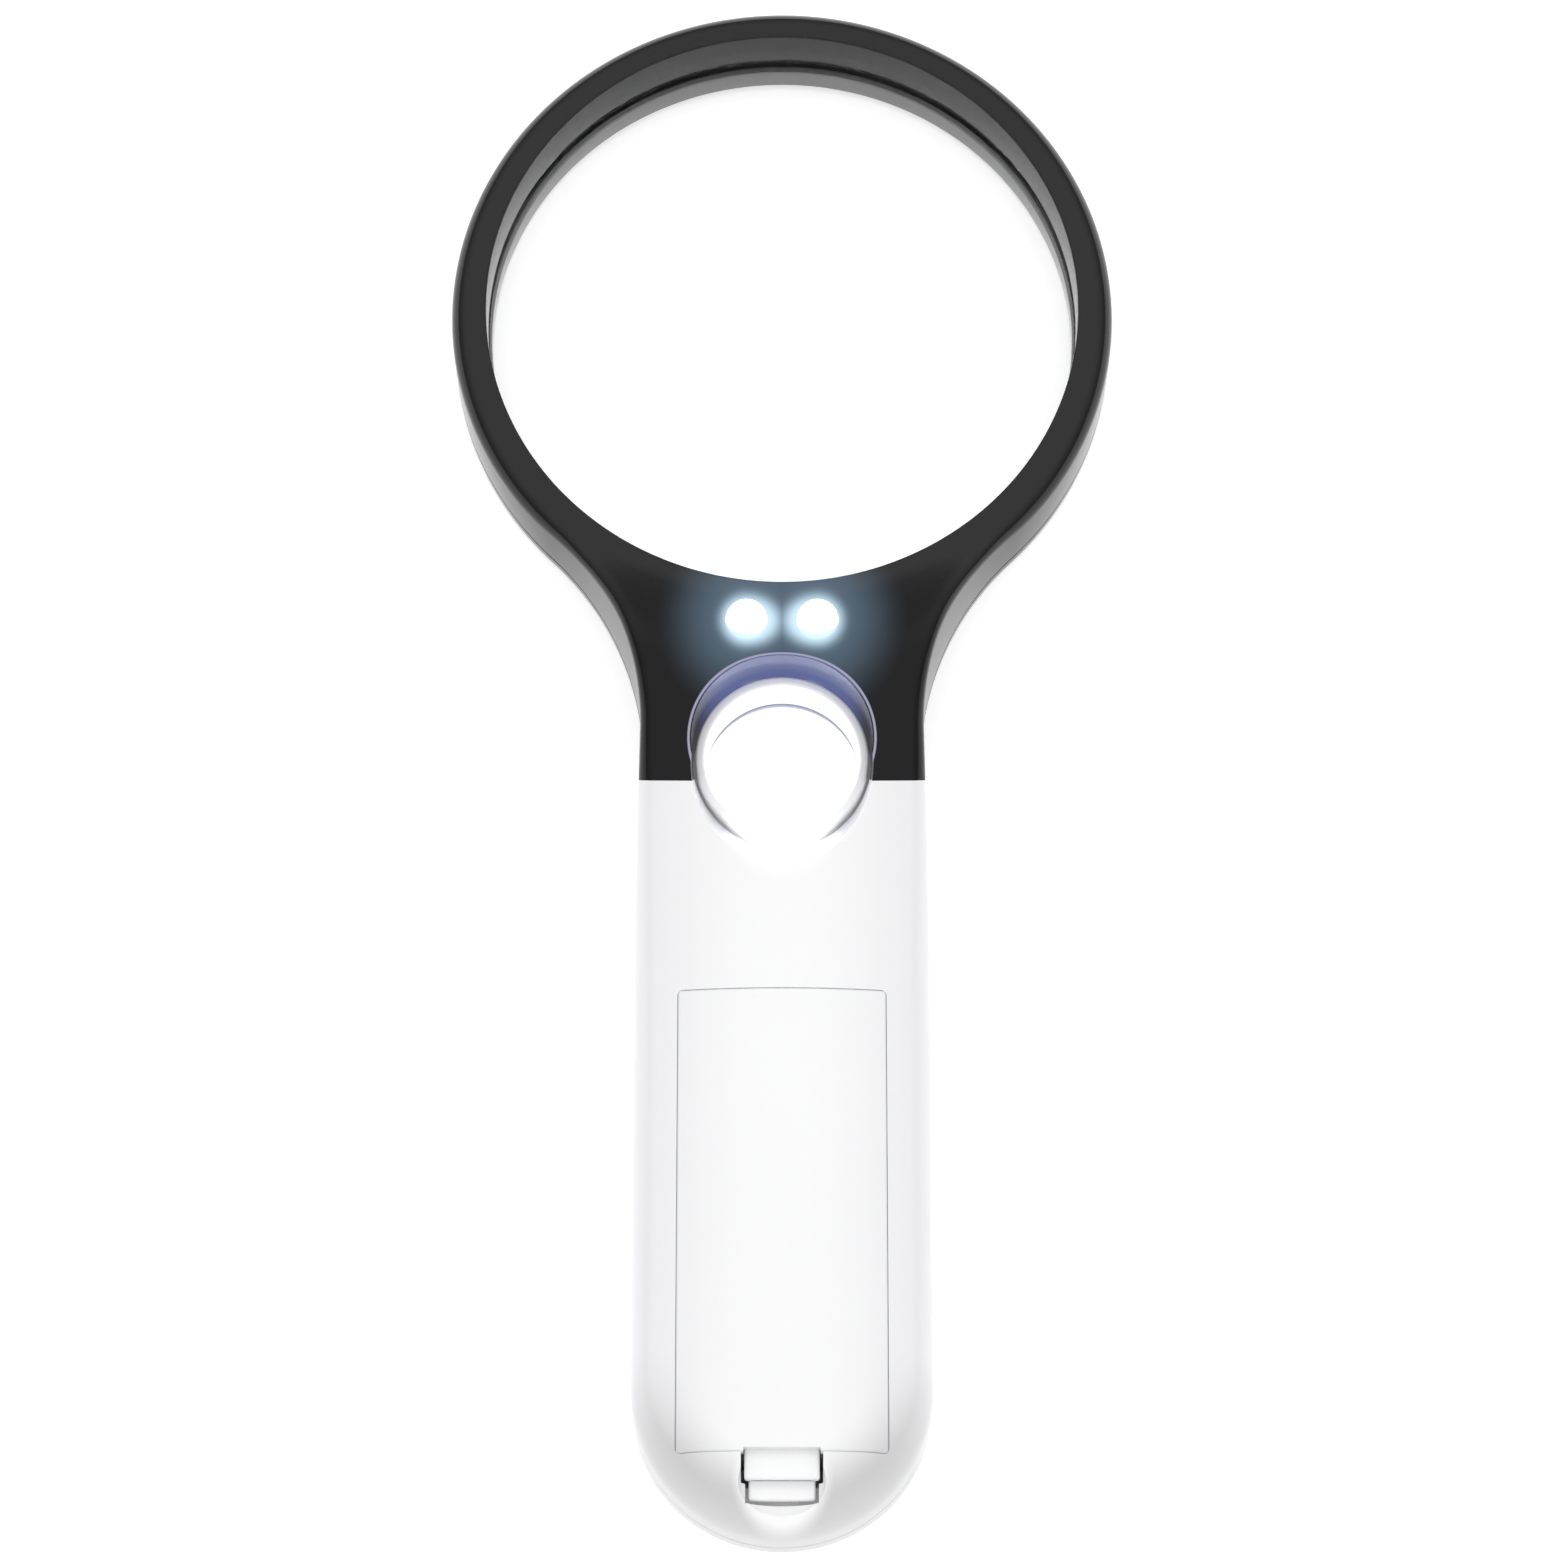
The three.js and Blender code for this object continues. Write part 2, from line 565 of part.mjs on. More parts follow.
function handleFront() {
  const half = GRIP_SIDE.intersect(below(SPLIT_Z - GAP / 2));
  let made = OUTER.subtract(INNER).intersect(half);
  const inside = (solidPiece) => solidPiece.intersect(body(1)).intersect(below(SPLIT_Z - 1))
    .add(solidPiece.intersect(BAY_CLEAR));
  // Bulkheads that hold the battery contacts.
  const bulkheads = box(-GRIP_W, GRIP_W, BAY_TOP, BAY_TOP + BULKHEAD_T, 1, BULKHEAD_TOP).add(
    box(-GRIP_W, GRIP_W, BAY_END - BULKHEAD_T, BAY_END, 1, BULKHEAD_TOP),
  );
  made = made.add(inside(bulkheads).intersect(GRIP_SIDE));
  // Two ribs that cradle the lower cell.
  for (const y of [BAY_TOP - 14, BAY_END + 14]) {
    made = made.add(box(-9, 9, y - 0.8, y + 0.8, 1, lowCellZ + 0.6));
  }
  made = made.subtract(cylinderY(CELL_R + GAP, 0, lowCellZ, BAY_END, BAY_TOP, 20));
  // Screw bosses, pegs for the frame's tabs, and posts under the circuit board.
  for (const side of [-1, 1]) {
    for (const y of screwYs) {
      made = made.add(disc(BOSS_R, 0.6, TAB_Z - GAP, 12, side * SCREW_X, y).intersect(OUTER));
      made = made.subtract(disc(SCREW_R + GAP, WALL + 0.6, BODY_T, 12, side * SCREW_X, y));
    }
    made = made.add(disc(PEG_R + 1.2, 1, PRONG_Z0 - GAP, 12, side * PEG_X, PEG_Y).intersect(OUTER));
    made = made.add(disc(PEG_R, 4, PRONG_Z0 + 3, 12, side * PEG_X, PEG_Y));
    for (const y of boardPegYs) {
      made = made.add(disc(1.7, 1, BOARD_Z - GAP, 12, side * boardPegX, y));
      made = made.add(disc(0.8, 1, BOARD_Z + BOARD_T + 0.8, 12, side * boardPegX, y));
    }
  }
  // Dish and slot for the switch knob, on a pad that keeps the wall's thickness.
  const slotL = STEM + SWITCH_TRAVEL / 2 + GAP + 0.2;
  const pad = box(-DISH_W - 1, DISH_W + 1, SWITCH_Y - DISH_L / 2 - 0.8, SWITCH_Y + DISH_L / 2 + 0.8, 1, padTop);
  made = made.add(pad.intersect(OUTER)).subtract(dish());
  made = made.subtract(box(-STEM - GAP, STEM + GAP, SWITCH_Y - slotL, SWITCH_Y + slotL, -1, padTop + 1));
  // Seats of the eyepiece ring and the barrel's flange, and the way of the battery wire.
  made = made
    .subtract(disc(eyeRingR + GAP, -1, BODY_T, 32, 0, LOUPE_Y))
    .subtract(disc(FLANGE_R + GAP, EYE_FLOOR, BODY_T, 32, 0, LOUPE_Y))
    .subtract(box(-wireX - 1.1, -wireX + 1.1, BAY_TOP - 1, BAY_TOP + BULKHEAD_T + 1, wireZ - 1, wireZ + 1.2))
    .subtract(box(-CELL_X - 1.3, -CELL_X + 1.3, BAY_TOP - 1, BAY_TOP + BULKHEAD_T + 1, tailZ - 0.8, BODY_T));
  return made;
}

const lowCellZ = CELL_Z - Math.sqrt(CELL_PITCH ** 2 - CELL_X ** 2);
const padTop = DISH_Z + WALL - 0.4;
const boardPegX = 6.9;
const boardPegYs = [BOARD_TOP - 1.7, BOARD_TOP - BOARD_L + 1.7];
const wireX = 13;
const wireZ = Math.min(lowCellZ - 2.1, TAB_Z - 2.6); // below the screwed tabs
const tailZ = CELL_Z - 2.9;

// A shallow oval dish in the front, deep enough for the knob to stay below the surface.
function dish() {
  const shape = new THREE.Shape();
  shape.absellipse(0, SWITCH_Y, DISH_W, DISH_L / 2, 0, 2 * Math.PI);
  const cut = new THREE.ExtrudeGeometry(shape, { depth: DISH_Z + 1, bevelEnabled: false, curveSegments: 20 });
  return solid(cut.translate(0, 0, -1));
}

// A cylinder along Y.
function cylinderY(r, x, z, y0, y1, segments) {
  const shape = new THREE.CylinderGeometry(r, r, y1 - y0, segments);
  return solid(shape.translate(x, (y0 + y1) / 2, z));
}

// ---------------------------------------------------------------- battery door and latch
const padStart = DOOR_END - LATCH_STRIP_L;
const padEnd = padStart - LATCH_PAD_L;
const padTopZ = LATCH_Z - LATCH_DROP;
const legBack = padStart - 0.6;
const nibZ = LATCH_Z - LATCH_LEG + 0.6;
const NIB_W = 2;

function batteryDoor() {
  const outline = doorBox(DOOR_W - GAP, DOOR_TOP - GAP, DOOR_END + GAP, SPLIT_Z);
  let made = body(0).subtract(body(DOOR_T)).intersect(outline);
  // Two hooks reach under the shell's edge, and two ribs stiffen the door between the cells.
  const under = BODY_T - DOOR_T + 0.6;
  const hookZ = BODY_T - DOOR_T - 3 * GAP - LEDGE_T - 0.045 * BODY_T;
  const hookT = 0.7;
  const root = DOOR_TOP - LEDGE_W - 0.4;
  for (const side of [-1, 1]) {
    const [x0, x1] = [side * HOOK_X - HOOK_W / 2, side * HOOK_X + HOOK_W / 2];
    made = made
      .add(box(x0, x1, root - hookT, root, hookZ - hookT, under))
      .add(box(x0, x1, root - 0.4, DOOR_TOP - 0.1, hookZ - hookT, hookZ));
  }
  made = made.add(box(-0.8, 0.8, DOOR_END + 8, DOOR_TOP - 8, under - 2.4, under));
  return made.subtract(box(-LATCH_W - GAP, LATCH_W + GAP, DOOR_END - 1, DOOR_END + 1, LATCH_Z - 4, FAR));
}

// Spring strip at the door's end with a finger pad and a leg that springs in its slot.
function doorLatch() {
  const start = DOOR_END + 1 - GAP;
  const strip = box(-LATCH_W, LATCH_W, legBack, start, LATCH_Z - LATCH_T - 0.3, LATCH_Z);
  const pad = box(-LATCH_PAD_W, LATCH_PAD_W, padEnd, padStart, padTopZ - LATCH_T, padTopZ);
  const leg = box(-LATCH_PAD_W, LATCH_PAD_W, legBack, legBack + 1.1, LATCH_Z - LATCH_LEG, LATCH_Z - 0.5);
  const nib = box(-NIB_W, NIB_W, legBack - 0.7, legBack + 0.5, nibZ, nibZ + 1);
  return strip.add(pad).add(leg).add(nib);
}

// ---------------------------------------------------------------- cells and contacts
// Each cell: where it lies, and whether its positive end points to the ring (1) or to the grip's end (-1).
const CELLS = {
  left: { x: -CELL_X, z: CELL_Z, up: 1 },
  right: { x: CELL_X, z: CELL_Z, up: -1 },
  lower: { x: 0, z: lowCellZ, up: 1 },
};
const plateFace = PLATE_T + GAP;

function cell({ x, z, up }) {
  const profile = [
    [0, 0], [CELL_R - 0.5, 0], [CELL_R, 0.5], [CELL_R, CELL_L - CELL_NUB_L - 0.5],
    [CELL_R - 0.5, CELL_L - CELL_NUB_L], [CELL_NUB_R, CELL_L - CELL_NUB_L],
    [CELL_NUB_R, CELL_L], [0, CELL_L],
  ];
  const points = profile.map(([r, h]) => new THREE.Vector2(r, h));
  const shape = new THREE.LatheGeometry(points, 20);
  if (up < 0) shape.rotateX(Math.PI);
  const foot = up > 0 ? BAY_TOP - plateFace - GAP - CELL_L : BAY_END + plateFace + GAP + CELL_L;
  return solid(shape.translate(x, foot, z));
}

// Conical spring between a bulkhead and a cell's flat end.
function spring({ x, z, up }) {
  const wall = up > 0 ? BAY_END : BAY_TOP;
  const length = BAY_L - CELL_L - 2 * plateFace - 2 * GAP;
  const points = [];
  const count = Math.round(SPRING_TURNS * 9);
  for (let i = 0; i <= count; i += 1) {
    const t = i / count;
    const a = 2 * Math.PI * SPRING_TURNS * t;
    const r = 3.3 - 1.5 * t;
    const along = plateFace + SPRING_WIRE_R + (length - SPRING_WIRE_R) * t;
    points.push([x + r * Math.cos(a), wall + up * along, z + r * Math.sin(a)]);
  }
  return wire(points, SPRING_WIRE_R, count, 6);
}

// Sprung-steel plates on the bulkheads.
function plate(x0, x1, z0, z1, top) {
  const wall = top ? BAY_TOP : BAY_END;
  const [y0, y1] = top ? [wall - plateFace, wall - GAP] : [wall + GAP, wall + plateFace];
  return box(x0, x1, y0, y1, z0, z1);
}
const PLATE_HALF = 3.9;
const CONTACT_LOW = CELL_Z - 4.1;
const LOWER_TOP = lowCellZ + 4.3;

function contactPositive() {
  const face = plate(-CELL_X - PLATE_HALF, -CELL_X + PLATE_HALF - 0.6, CONTACT_LOW, CONTACT_TOP, true);
  const tail = box(-CELL_X - 1, -CELL_X + 1, BAY_TOP - plateFace, BAY_TOP + BULKHEAD_T + 1.6, tailZ, tailZ + PLATE_T);
  return face.add(tail);
}

function bridgeUpper() {
  const face = plate(1.7, CELL_X + PLATE_HALF, CONTACT_LOW, CONTACT_TOP, true);
  const low = plate(-PLATE_HALF, PLATE_HALF, lowCellZ - PLATE_HALF, LOWER_TOP, true);
  return face.add(low).add(plate(1.7, PLATE_HALF, LOWER_TOP - 0.4, CONTACT_LOW + 1, true));
}

function bridgeLower() {
  return plate(-CELL_X - PLATE_HALF, CELL_X + PLATE_HALF, CONTACT_LOW, CONTACT_TOP, false);
}

function contactNegative() {
  const face = plate(-PLATE_HALF, PLATE_HALF, lowCellZ - PLATE_HALF, LOWER_TOP, false);
  const tailTop = Math.max(wireZ + 0.9, lowCellZ - PLATE_HALF + 1);
  return face.add(plate(-8.2, -PLATE_HALF + 0.4, wireZ - 0.9, tailTop, false));
}

// ---------------------------------------------------------------- circuit
function circuitBoard() {
  let made = box(-BOARD_W, BOARD_W, BOARD_TOP - BOARD_L, BOARD_TOP, BOARD_Z, BOARD_Z + BOARD_T);
  for (const side of [-1, 1]) {
    for (const y of boardPegYs) made = made.subtract(disc(1.1, 0, BODY_T, 12, side * boardPegX, y));
  }
  return made;
}

const SWITCH_BODY = { w: 2.2, l: 4.3, z0: 5.7, z1: BOARD_Z - GAP };
function switchBody() {
  const { w, l, z0, z1 } = SWITCH_BODY;
  const slot = LEVER + SWITCH_TRAVEL / 2 + GAP;
  return box(-w, w, SWITCH_Y - l, SWITCH_Y + l, z0, z1).subtract(
    box(-LEVER - GAP, LEVER + GAP, SWITCH_Y - slot, SWITCH_Y + slot, 0, z0 + 1.8),
  );
}

const knobY = SWITCH_Y + SWITCH_TRAVEL / 2; // at rest the light is on
const switchLever = () =>
  box(-LEVER, LEVER, knobY - LEVER, knobY + LEVER, padTop + GAP + 0.6, SWITCH_BODY.z0 + 1.4);

function switchKnob() {
  const face = 0.45;
  const padZ = DISH_Z - GAP;
  let made = box(-KNOB_W, KNOB_W, knobY - KNOB_L / 2, knobY + KNOB_L / 2, face + 0.5, padZ);
  for (let i = 0; i < KNOB_RIBS; i += 1) {
    const y = knobY + (KNOB_L - 1.6) * (i / (KNOB_RIBS - 1) - 0.5);
    made = made.add(box(-KNOB_W + 0.7, KNOB_W - 0.7, y - 0.4, y + 0.4, face, face + 0.8));
  }
  const keeper = padTop + GAP;
  made = made
    .add(box(-STEM, STEM, knobY - STEM, knobY + STEM, padZ - 0.5, keeper + 0.5))
    .add(box(-STEM - 1.2, STEM + 1.2, knobY - STEM - 0.9, knobY + STEM + 0.9, keeper, keeper + 1.2));
  return made.subtract(box(-LEVER - GAP, LEVER + GAP, knobY - LEVER - GAP, knobY + LEVER + GAP, keeper + 0.3, BODY_T));
}

const LED_BOARD = { z: 7.9, y0: -RING_R - 5.6, y1: -RING_R - 0.4, w: 7.4 };
function ledBoard() {
  const { z, y0, y1, w } = LED_BOARD;
  return box(-w, w, y0, y1, z, z + 1.2);
}

function resistor() {
  const at = [1.2, BOARD_TOP - 5.5, BOARD_Z + BOARD_T + GAP + 1.1];
  const profile = [
    [0, -3.1], [0.9, -3.1], [1.1, -2.8], [1.1, -1.9], [0.9, -1.7], [0.9, 1.7],
    [1.1, 1.9], [1.1, 2.8], [0.9, 3.1], [0, 3.1],
  ];
  return leaning(profile, 12, at, [0, 1, 0]);
}

function screw(side, y) {
  const under = TAB_Z + TAB_T + GAP;
  const profile = [
    [0, under - SCREW_L], [0.4, under - SCREW_L], [SCREW_R, under - SCREW_L + 1.4],
    [SCREW_R, under], [SCREW_HEAD_R, under], [SCREW_HEAD_R, under + 0.5],
    [SCREW_HEAD_R - 0.6, under + SCREW_HEAD_T], [0, under + SCREW_HEAD_T],
  ];
  const slot = (w, l) => box(-w, w, -l, l, under + 0.6, BODY_T).translate([side * SCREW_X, y, 0]);
  return turned(profile, 10, side * SCREW_X, y).subtract(slot(0.25, 1.2)).subtract(slot(1.2, 0.25));
}

// ---------------------------------------------------------------- wires
const boardTop = BOARD_Z + BOARD_T;
const CHANNEL_X = 13.5; // between the loupe's well and the side wall
const CHANNEL_Z = 15;
const solder = WIRE_R + GAP; // height of a wire's end above its pad

// From the LED board past the loupe to the circuit board.
const ledWire = (side) =>
  wire(
    [
      [side * 6, LED_BOARD.y0 + 2.6, LED_BOARD.z + 1.2 + solder],
      [side * 8.2, LED_BOARD.y0 + 1.2, LED_BOARD.z + 3.2],
      [side * 10.6, LOUPE_Y + 10.2, 13.4], [side * 12.8, LOUPE_Y + 4.7, CHANNEL_Z],
      [side * CHANNEL_X, LOUPE_Y, CHANNEL_Z], [side * CHANNEL_X, LOUPE_Y - 6.5, CHANNEL_Z],
      [side * 13.2, LOUPE_Y - 12.4, CHANNEL_Z], [side * 9.6, BOARD_TOP + 3.2, 14.4],
      [side * 6.6, BOARD_TOP - 0.8, boardTop + 1.8], [side * 4.4, BOARD_TOP - 2.4, boardTop + solder],
    ],
    WIRE_R, 26, 8,
  );

const batteryRed = () =>
  wire(
    [
      [-CELL_X, BAY_TOP + BULKHEAD_T + 1.1, tailZ - solder], [-CELL_X, BAY_TOP + 3.4, 12.7],
      [-4.6, BAY_TOP + 5, boardTop + 1.3], [-3, BAY_TOP + 6.4, boardTop + solder],
    ],
    WIRE_R, 8, 8,
  );

const batteryBlack = () =>
  wire(
    [
      [-7.6, BAY_END + plateFace + solder, wireZ], [-10.2, BAY_END + 1.9, wireZ],
      [-12.2, BAY_END + 3.6, wireZ], [-wireX, BAY_END + 8, wireZ],
      [-wireX, (BAY_END + BAY_TOP) / 2, wireZ], [-wireX, BAY_TOP - 2.4, wireZ], [-wireX, BAY_TOP + 2.6, wireZ],
      [-11.6, BAY_TOP + 5.2, wireZ + 1.6], [-10.4, BAY_TOP + 6.8, boardTop - 1],
      [-9.2, BAY_TOP + 7.6, boardTop + 1.2], [-7.4, BAY_TOP + 9, boardTop + solder],
    ],
    WIRE_R, 26, 8,
  );

// ---------------------------------------------------------------- assembly
const magnifier = new THREE.Group();
const inner = new THREE.Group();
inner.position.y = (RING_R - END_Y + GRIP_W) / 2 - RING_R; // the origin is under the middle of the length
magnifier.add(inner);

function add(name, piece, material) {
  const made = piece.asOriginal().simplify(0.005).getMesh();
  const shape = new THREE.BufferGeometry();
  shape.setAttribute("position", new THREE.Float32BufferAttribute(made.vertProperties, 3));
  shape.setIndex([...made.triVerts]);
  shape.computeVertexNormals();
  const mesh = new THREE.Mesh(shape, material);
  mesh.name = name;
  inner.add(mesh);
}

add("lens_frame", lensFrame(), BLACK);
add("front_frame", frontFrame(), BLACK);
add("main_lens", mainLens(), CLEAR);
add("loupe_barrel", loupeBarrel(), WHITE);
add("loupe_lens", loupeLens(), CLEAR);
add("eyepiece_ring", eyepieceRing(), BLACK);
add("handle_back", handleBack(), WHITE);
add("handle_front", handleFront(), WHITE);
add("battery_door", batteryDoor(), WHITE);
add("door_latch", doorLatch(), WHITE);
add("switch_knob", switchKnob(), BLACK);
add("switch_lever", switchLever(), DARK);
add("switch_body", switchBody(), SWITCH_METAL);
add("circuit_board", circuitBoard(), BOARD);
add("resistor", resistor(), CERAMIC);
add("led_board", ledBoard(), BOARD);
add("led_left", led([-LED_X, ledY, ledZ], LED_UP, 2.2), EPOXY);
add("led_right", led([LED_X, ledY, ledZ], LED_UP, 2.2), EPOXY);
add("led_loupe", led([0, loupeLedY, LOUPE_LED_Z], LOUPE_LED_UP, 2.6), EPOXY);
for (const [place, where] of Object.entries(CELLS)) {
  add(`cell_${place}`, cell(where), CELL);
  add(`spring_${place}`, spring(where), STEEL);
}
add("contact_positive", contactPositive(), STEEL);
add("contact_bridge_upper", bridgeUpper(), STEEL);
add("contact_bridge_lower", bridgeLower(), STEEL);
add("contact_negative", contactNegative(), STEEL);
for (const [row, y] of screwYs.entries()) {
  add(`handle_screw_left_${row + 1}`, screw(-1, y), STEEL);
  add(`handle_screw_right_${row + 1}`, screw(1, y), STEEL);
}
add("wire_led_red", ledWire(1), RED);
add("wire_led_black", ledWire(-1), DARK);
add("wire_battery_red", batteryRed(), RED);
add("wire_battery_black", batteryBlack(), DARK);

export default magnifier;
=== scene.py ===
"""A lighted hand magnifier lying on its front, seen from the back, with its lamps on.
Lengths are in millimetres on the main lens's own axes: X across, Y away from the handle, Z up.
They become metres in the row frame when a mesh is made."""

import math

import bmesh
import bpy
import numpy as np
from mathutils import Matrix, Vector


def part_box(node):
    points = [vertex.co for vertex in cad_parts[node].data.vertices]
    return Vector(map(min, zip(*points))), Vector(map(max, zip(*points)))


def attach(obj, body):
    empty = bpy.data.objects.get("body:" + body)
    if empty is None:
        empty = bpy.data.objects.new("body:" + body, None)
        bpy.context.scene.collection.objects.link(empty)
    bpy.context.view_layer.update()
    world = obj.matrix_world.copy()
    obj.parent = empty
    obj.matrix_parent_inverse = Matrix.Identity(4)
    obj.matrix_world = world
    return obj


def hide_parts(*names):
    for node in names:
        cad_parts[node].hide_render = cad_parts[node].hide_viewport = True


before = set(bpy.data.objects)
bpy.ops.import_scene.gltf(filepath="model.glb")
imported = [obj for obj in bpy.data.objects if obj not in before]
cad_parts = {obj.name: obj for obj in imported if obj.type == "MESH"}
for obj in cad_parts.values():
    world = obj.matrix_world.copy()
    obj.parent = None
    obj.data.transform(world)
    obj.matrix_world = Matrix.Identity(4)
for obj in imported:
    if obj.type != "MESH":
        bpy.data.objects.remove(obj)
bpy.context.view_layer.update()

lens_low, lens_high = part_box("main_lens")
LENS_Y = (lens_low.y + lens_high.y) * 500  # the main lens's axis in the row frame


# ---------------------------------------------------------------- main lens
# One biconvex lens of clear acrylic, moulded and polished, held by its edge between the two frame halves.
# Round faces of one radius; a thin ground edge shows as a darker line.

def make(name, vertices, faces, material, smooth=30):
    """A mesh object in the row frame from millimetres on the lens's axes, smooth below an angle."""
    mesh = bpy.data.meshes.new(name)
    points = (np.asarray(vertices, float) + (0, LENS_Y, 0)) / 1000
    mesh.from_pydata(points.tolist(), [], faces)
    made = bpy.data.objects.new(name, mesh)
    bpy.context.scene.collection.objects.link(made)
    tidy = bmesh.new()
    tidy.from_mesh(mesh)
    bmesh.ops.remove_doubles(tidy, verts=tidy.verts, dist=1e-6)
    bmesh.ops.recalc_face_normals(tidy, faces=tidy.faces)
    tidy.to_mesh(mesh)
    tidy.free()
    if material:
        mesh.materials.append(material)
    mesh.shade_smooth()
    mesh.set_sharp_from_angle(angle=math.radians(smooth))
    return made


def turned(profile, steps, at=(0, 0, 0), lean=0.0):
    """Vertices and faces of a closed (radius, height) profile turned about Z, leaned about X, then moved."""
    angles = np.linspace(0, 2 * math.pi, steps, endpoint=False)
    r, h = np.array(profile, float).T
    grid = np.stack(
        [np.outer(np.cos(angles), r), np.outer(np.sin(angles), r), np.tile(h, (steps, 1))], -1
    ).reshape(-1, 3)
    n = len(profile)
    faces = [
        (i * n + k, (i + 1) % steps * n + k, (i + 1) % steps * n + (k + 1) % n, i * n + (k + 1) % n)
        for i in range(steps)
        for k in range(n)
        if r[k] > 0 or r[(k + 1) % n] > 0
    ]
    turn = np.array(Matrix.Rotation(lean, 3, "X"))
    return grid @ turn.T + at, faces


def arc(r, z, radius, start, end, steps):
    """Points of a fillet's arc in a profile, angles in degrees."""
    a = np.radians(np.linspace(start, end, steps + 1))
    return [(max(r + radius * math.cos(t), 0), z + radius * math.sin(t)) for t in a]


def lens_profile(radius, edge, sag, z, steps):
    ball = (radius**2 + sag**2) / (2 * sag)
    half = math.degrees(math.asin(radius / ball))
    lower = arc(0, z - sag + ball, ball, -90, -90 + half, steps)
    upper = arc(0, z + edge + sag - ball, ball, 90 - half, 90, steps)
    return [*lower[:-1], (radius - 0.06, lower[-1][1]), (radius, z + 0.1), (radius, z + edge - 0.1), *upper]


class Field:
    """One value of a shader, so that what varies over a surface is written as a formula."""

    def __init__(self, tree, socket):
        self.tree, self.socket = tree, socket

    def _math(self, operation, *others):
        node = self.tree.nodes.new("ShaderNodeMath")
        node.operation = operation
        for i, value in enumerate((self, *others)):
            if isinstance(value, Field):
                self.tree.links.new(value.socket, node.inputs[i])
            else:
                node.inputs[i].default_value = value
        return Field(self.tree, node.outputs[0])

    def __add__(self, other): return self._math("ADD", other)
    def __sub__(self, other): return self._math("SUBTRACT", other)
    def __mul__(self, other): return self._math("MULTIPLY", other)
    def __truediv__(self, other): return self._math("DIVIDE", other)
    def __pow__(self, other): return self._math("POWER", other)
    def __abs__(self): return self._math("ABSOLUTE")
    def largest(self, other): return self._math("MAXIMUM", other)

    def ramp(self, start, end):
        """Smoothly from 0 at start to 1 at end."""
        node = self.tree.nodes.new("ShaderNodeMapRange")
        node.interpolation_type = "SMOOTHSTEP"
        node.inputs["From Min"].default_value = start
        node.inputs["From Max"].default_value = end
        self.tree.links.new(self.socket, node.inputs["Value"])
        return Field(self.tree, node.outputs["Result"])


class Finish:
    """A Principled material: uniform values by name, varying ones as fields of the object's coordinates."""

    def __init__(self, name, **uniform):
        self.material = bpy.data.materials.new(name)
        self.material.use_nodes = True
        self.tree = self.material.node_tree
        self.shader = self.tree.nodes["Principled BSDF"]
        for key, value in uniform.items():
            self.shader.inputs[key.replace("_", " ")].default_value = value
        self.place = self.tree.nodes.new("ShaderNodeTexCoord").outputs["Object"]

    def axis(self, name):
        """X, Y or Z in millimetres on the lens's axes."""
        node = self.tree.nodes.new("ShaderNodeSeparateXYZ")
        self.tree.links.new(self.place, node.inputs[0])
        return Field(self.tree, node.outputs[name]) * 1000 - (LENS_Y if name == "Y" else 0)

    def noise(self, size, detail=3, stretch=(1, 1, 1)):
        """Noise from about 0 to 1 with features of a size in millimetres."""
        mapping = self.tree.nodes.new("ShaderNodeMapping")
        mapping.inputs["Scale"].default_value = stretch
        node = self.tree.nodes.new("ShaderNodeTexNoise")
        node.inputs["Scale"].default_value = 1000 / size
        node.inputs["Detail"].default_value = detail
        self.tree.links.new(self.place, mapping.inputs[0])
        self.tree.links.new(mapping.outputs[0], node.inputs["Vector"])
        return Field(self.tree, node.outputs["Fac"])

    def drive(self, name, field):
        self.tree.links.new(field.socket, self.shader.inputs[name])

    def colours(self, field, low, high, name="Base Color"):
        node = self.tree.nodes.new("ShaderNodeMix")
        node.data_type = "RGBA"
        if isinstance(low, tuple):
            node.inputs[6].default_value = (*low, 1)
        else:
            self.tree.links.new(low, node.inputs[6])
        node.inputs[7].default_value = (*high, 1)
        self.tree.links.new(field.socket, node.inputs[0])
        self.tree.links.new(node.outputs[2], self.shader.inputs[name])
        return node.outputs[2]

    def bump(self, field, height, strength=1.0):
        """Relief of a field, with its height in millimetres."""
        node = self.tree.nodes.new("ShaderNodeBump")
        node.inputs["Distance"].default_value = height / 1000
        node.inputs["Strength"].default_value = strength
        self.tree.links.new(field.socket, node.inputs["Height"])
        self.tree.links.new(node.outputs[0], self.shader.inputs["Normal"])

    def let_through(self, share):
        """Lets this share of the light pass straight on, unbent."""
        open_air = self.tree.nodes.new("ShaderNodeBsdfTransparent")
        mixed = self.tree.nodes.new("ShaderNodeMixShader")
        mixed.inputs[0].default_value = share
        self.tree.links.new(self.shader.outputs[0], mixed.inputs[1])
        self.tree.links.new(open_air.outputs[0], mixed.inputs[2])
        self.tree.links.new(mixed.outputs[0], self.tree.nodes["Material Output"].inputs["Surface"])


clear = Finish("clear acrylic", Transmission_Weight=1.0, IOR=1.49, Base_Color=(0.985, 0.992, 1, 1))
clear.drive("Roughness", clear.noise(9, 2).ramp(0.5, 0.9) * 0.012 + 0.002)
clear.bump(clear.noise(24, 1), 0.004, 0.4)
clear.let_through(0.85)

LENS_R, LENS_EDGE, LENS_SAG = 38.2, 2.0, 4.2
LENS_Z = lens_low.z * 1000 + LENS_SAG
main_profile = lens_profile(LENS_R, LENS_EDGE, LENS_SAG, LENS_Z, 40)
main_lens = make("main_lens_clear", *turned(main_profile, 192), clear.material)
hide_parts("main_lens")
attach(main_lens, "magnifier")


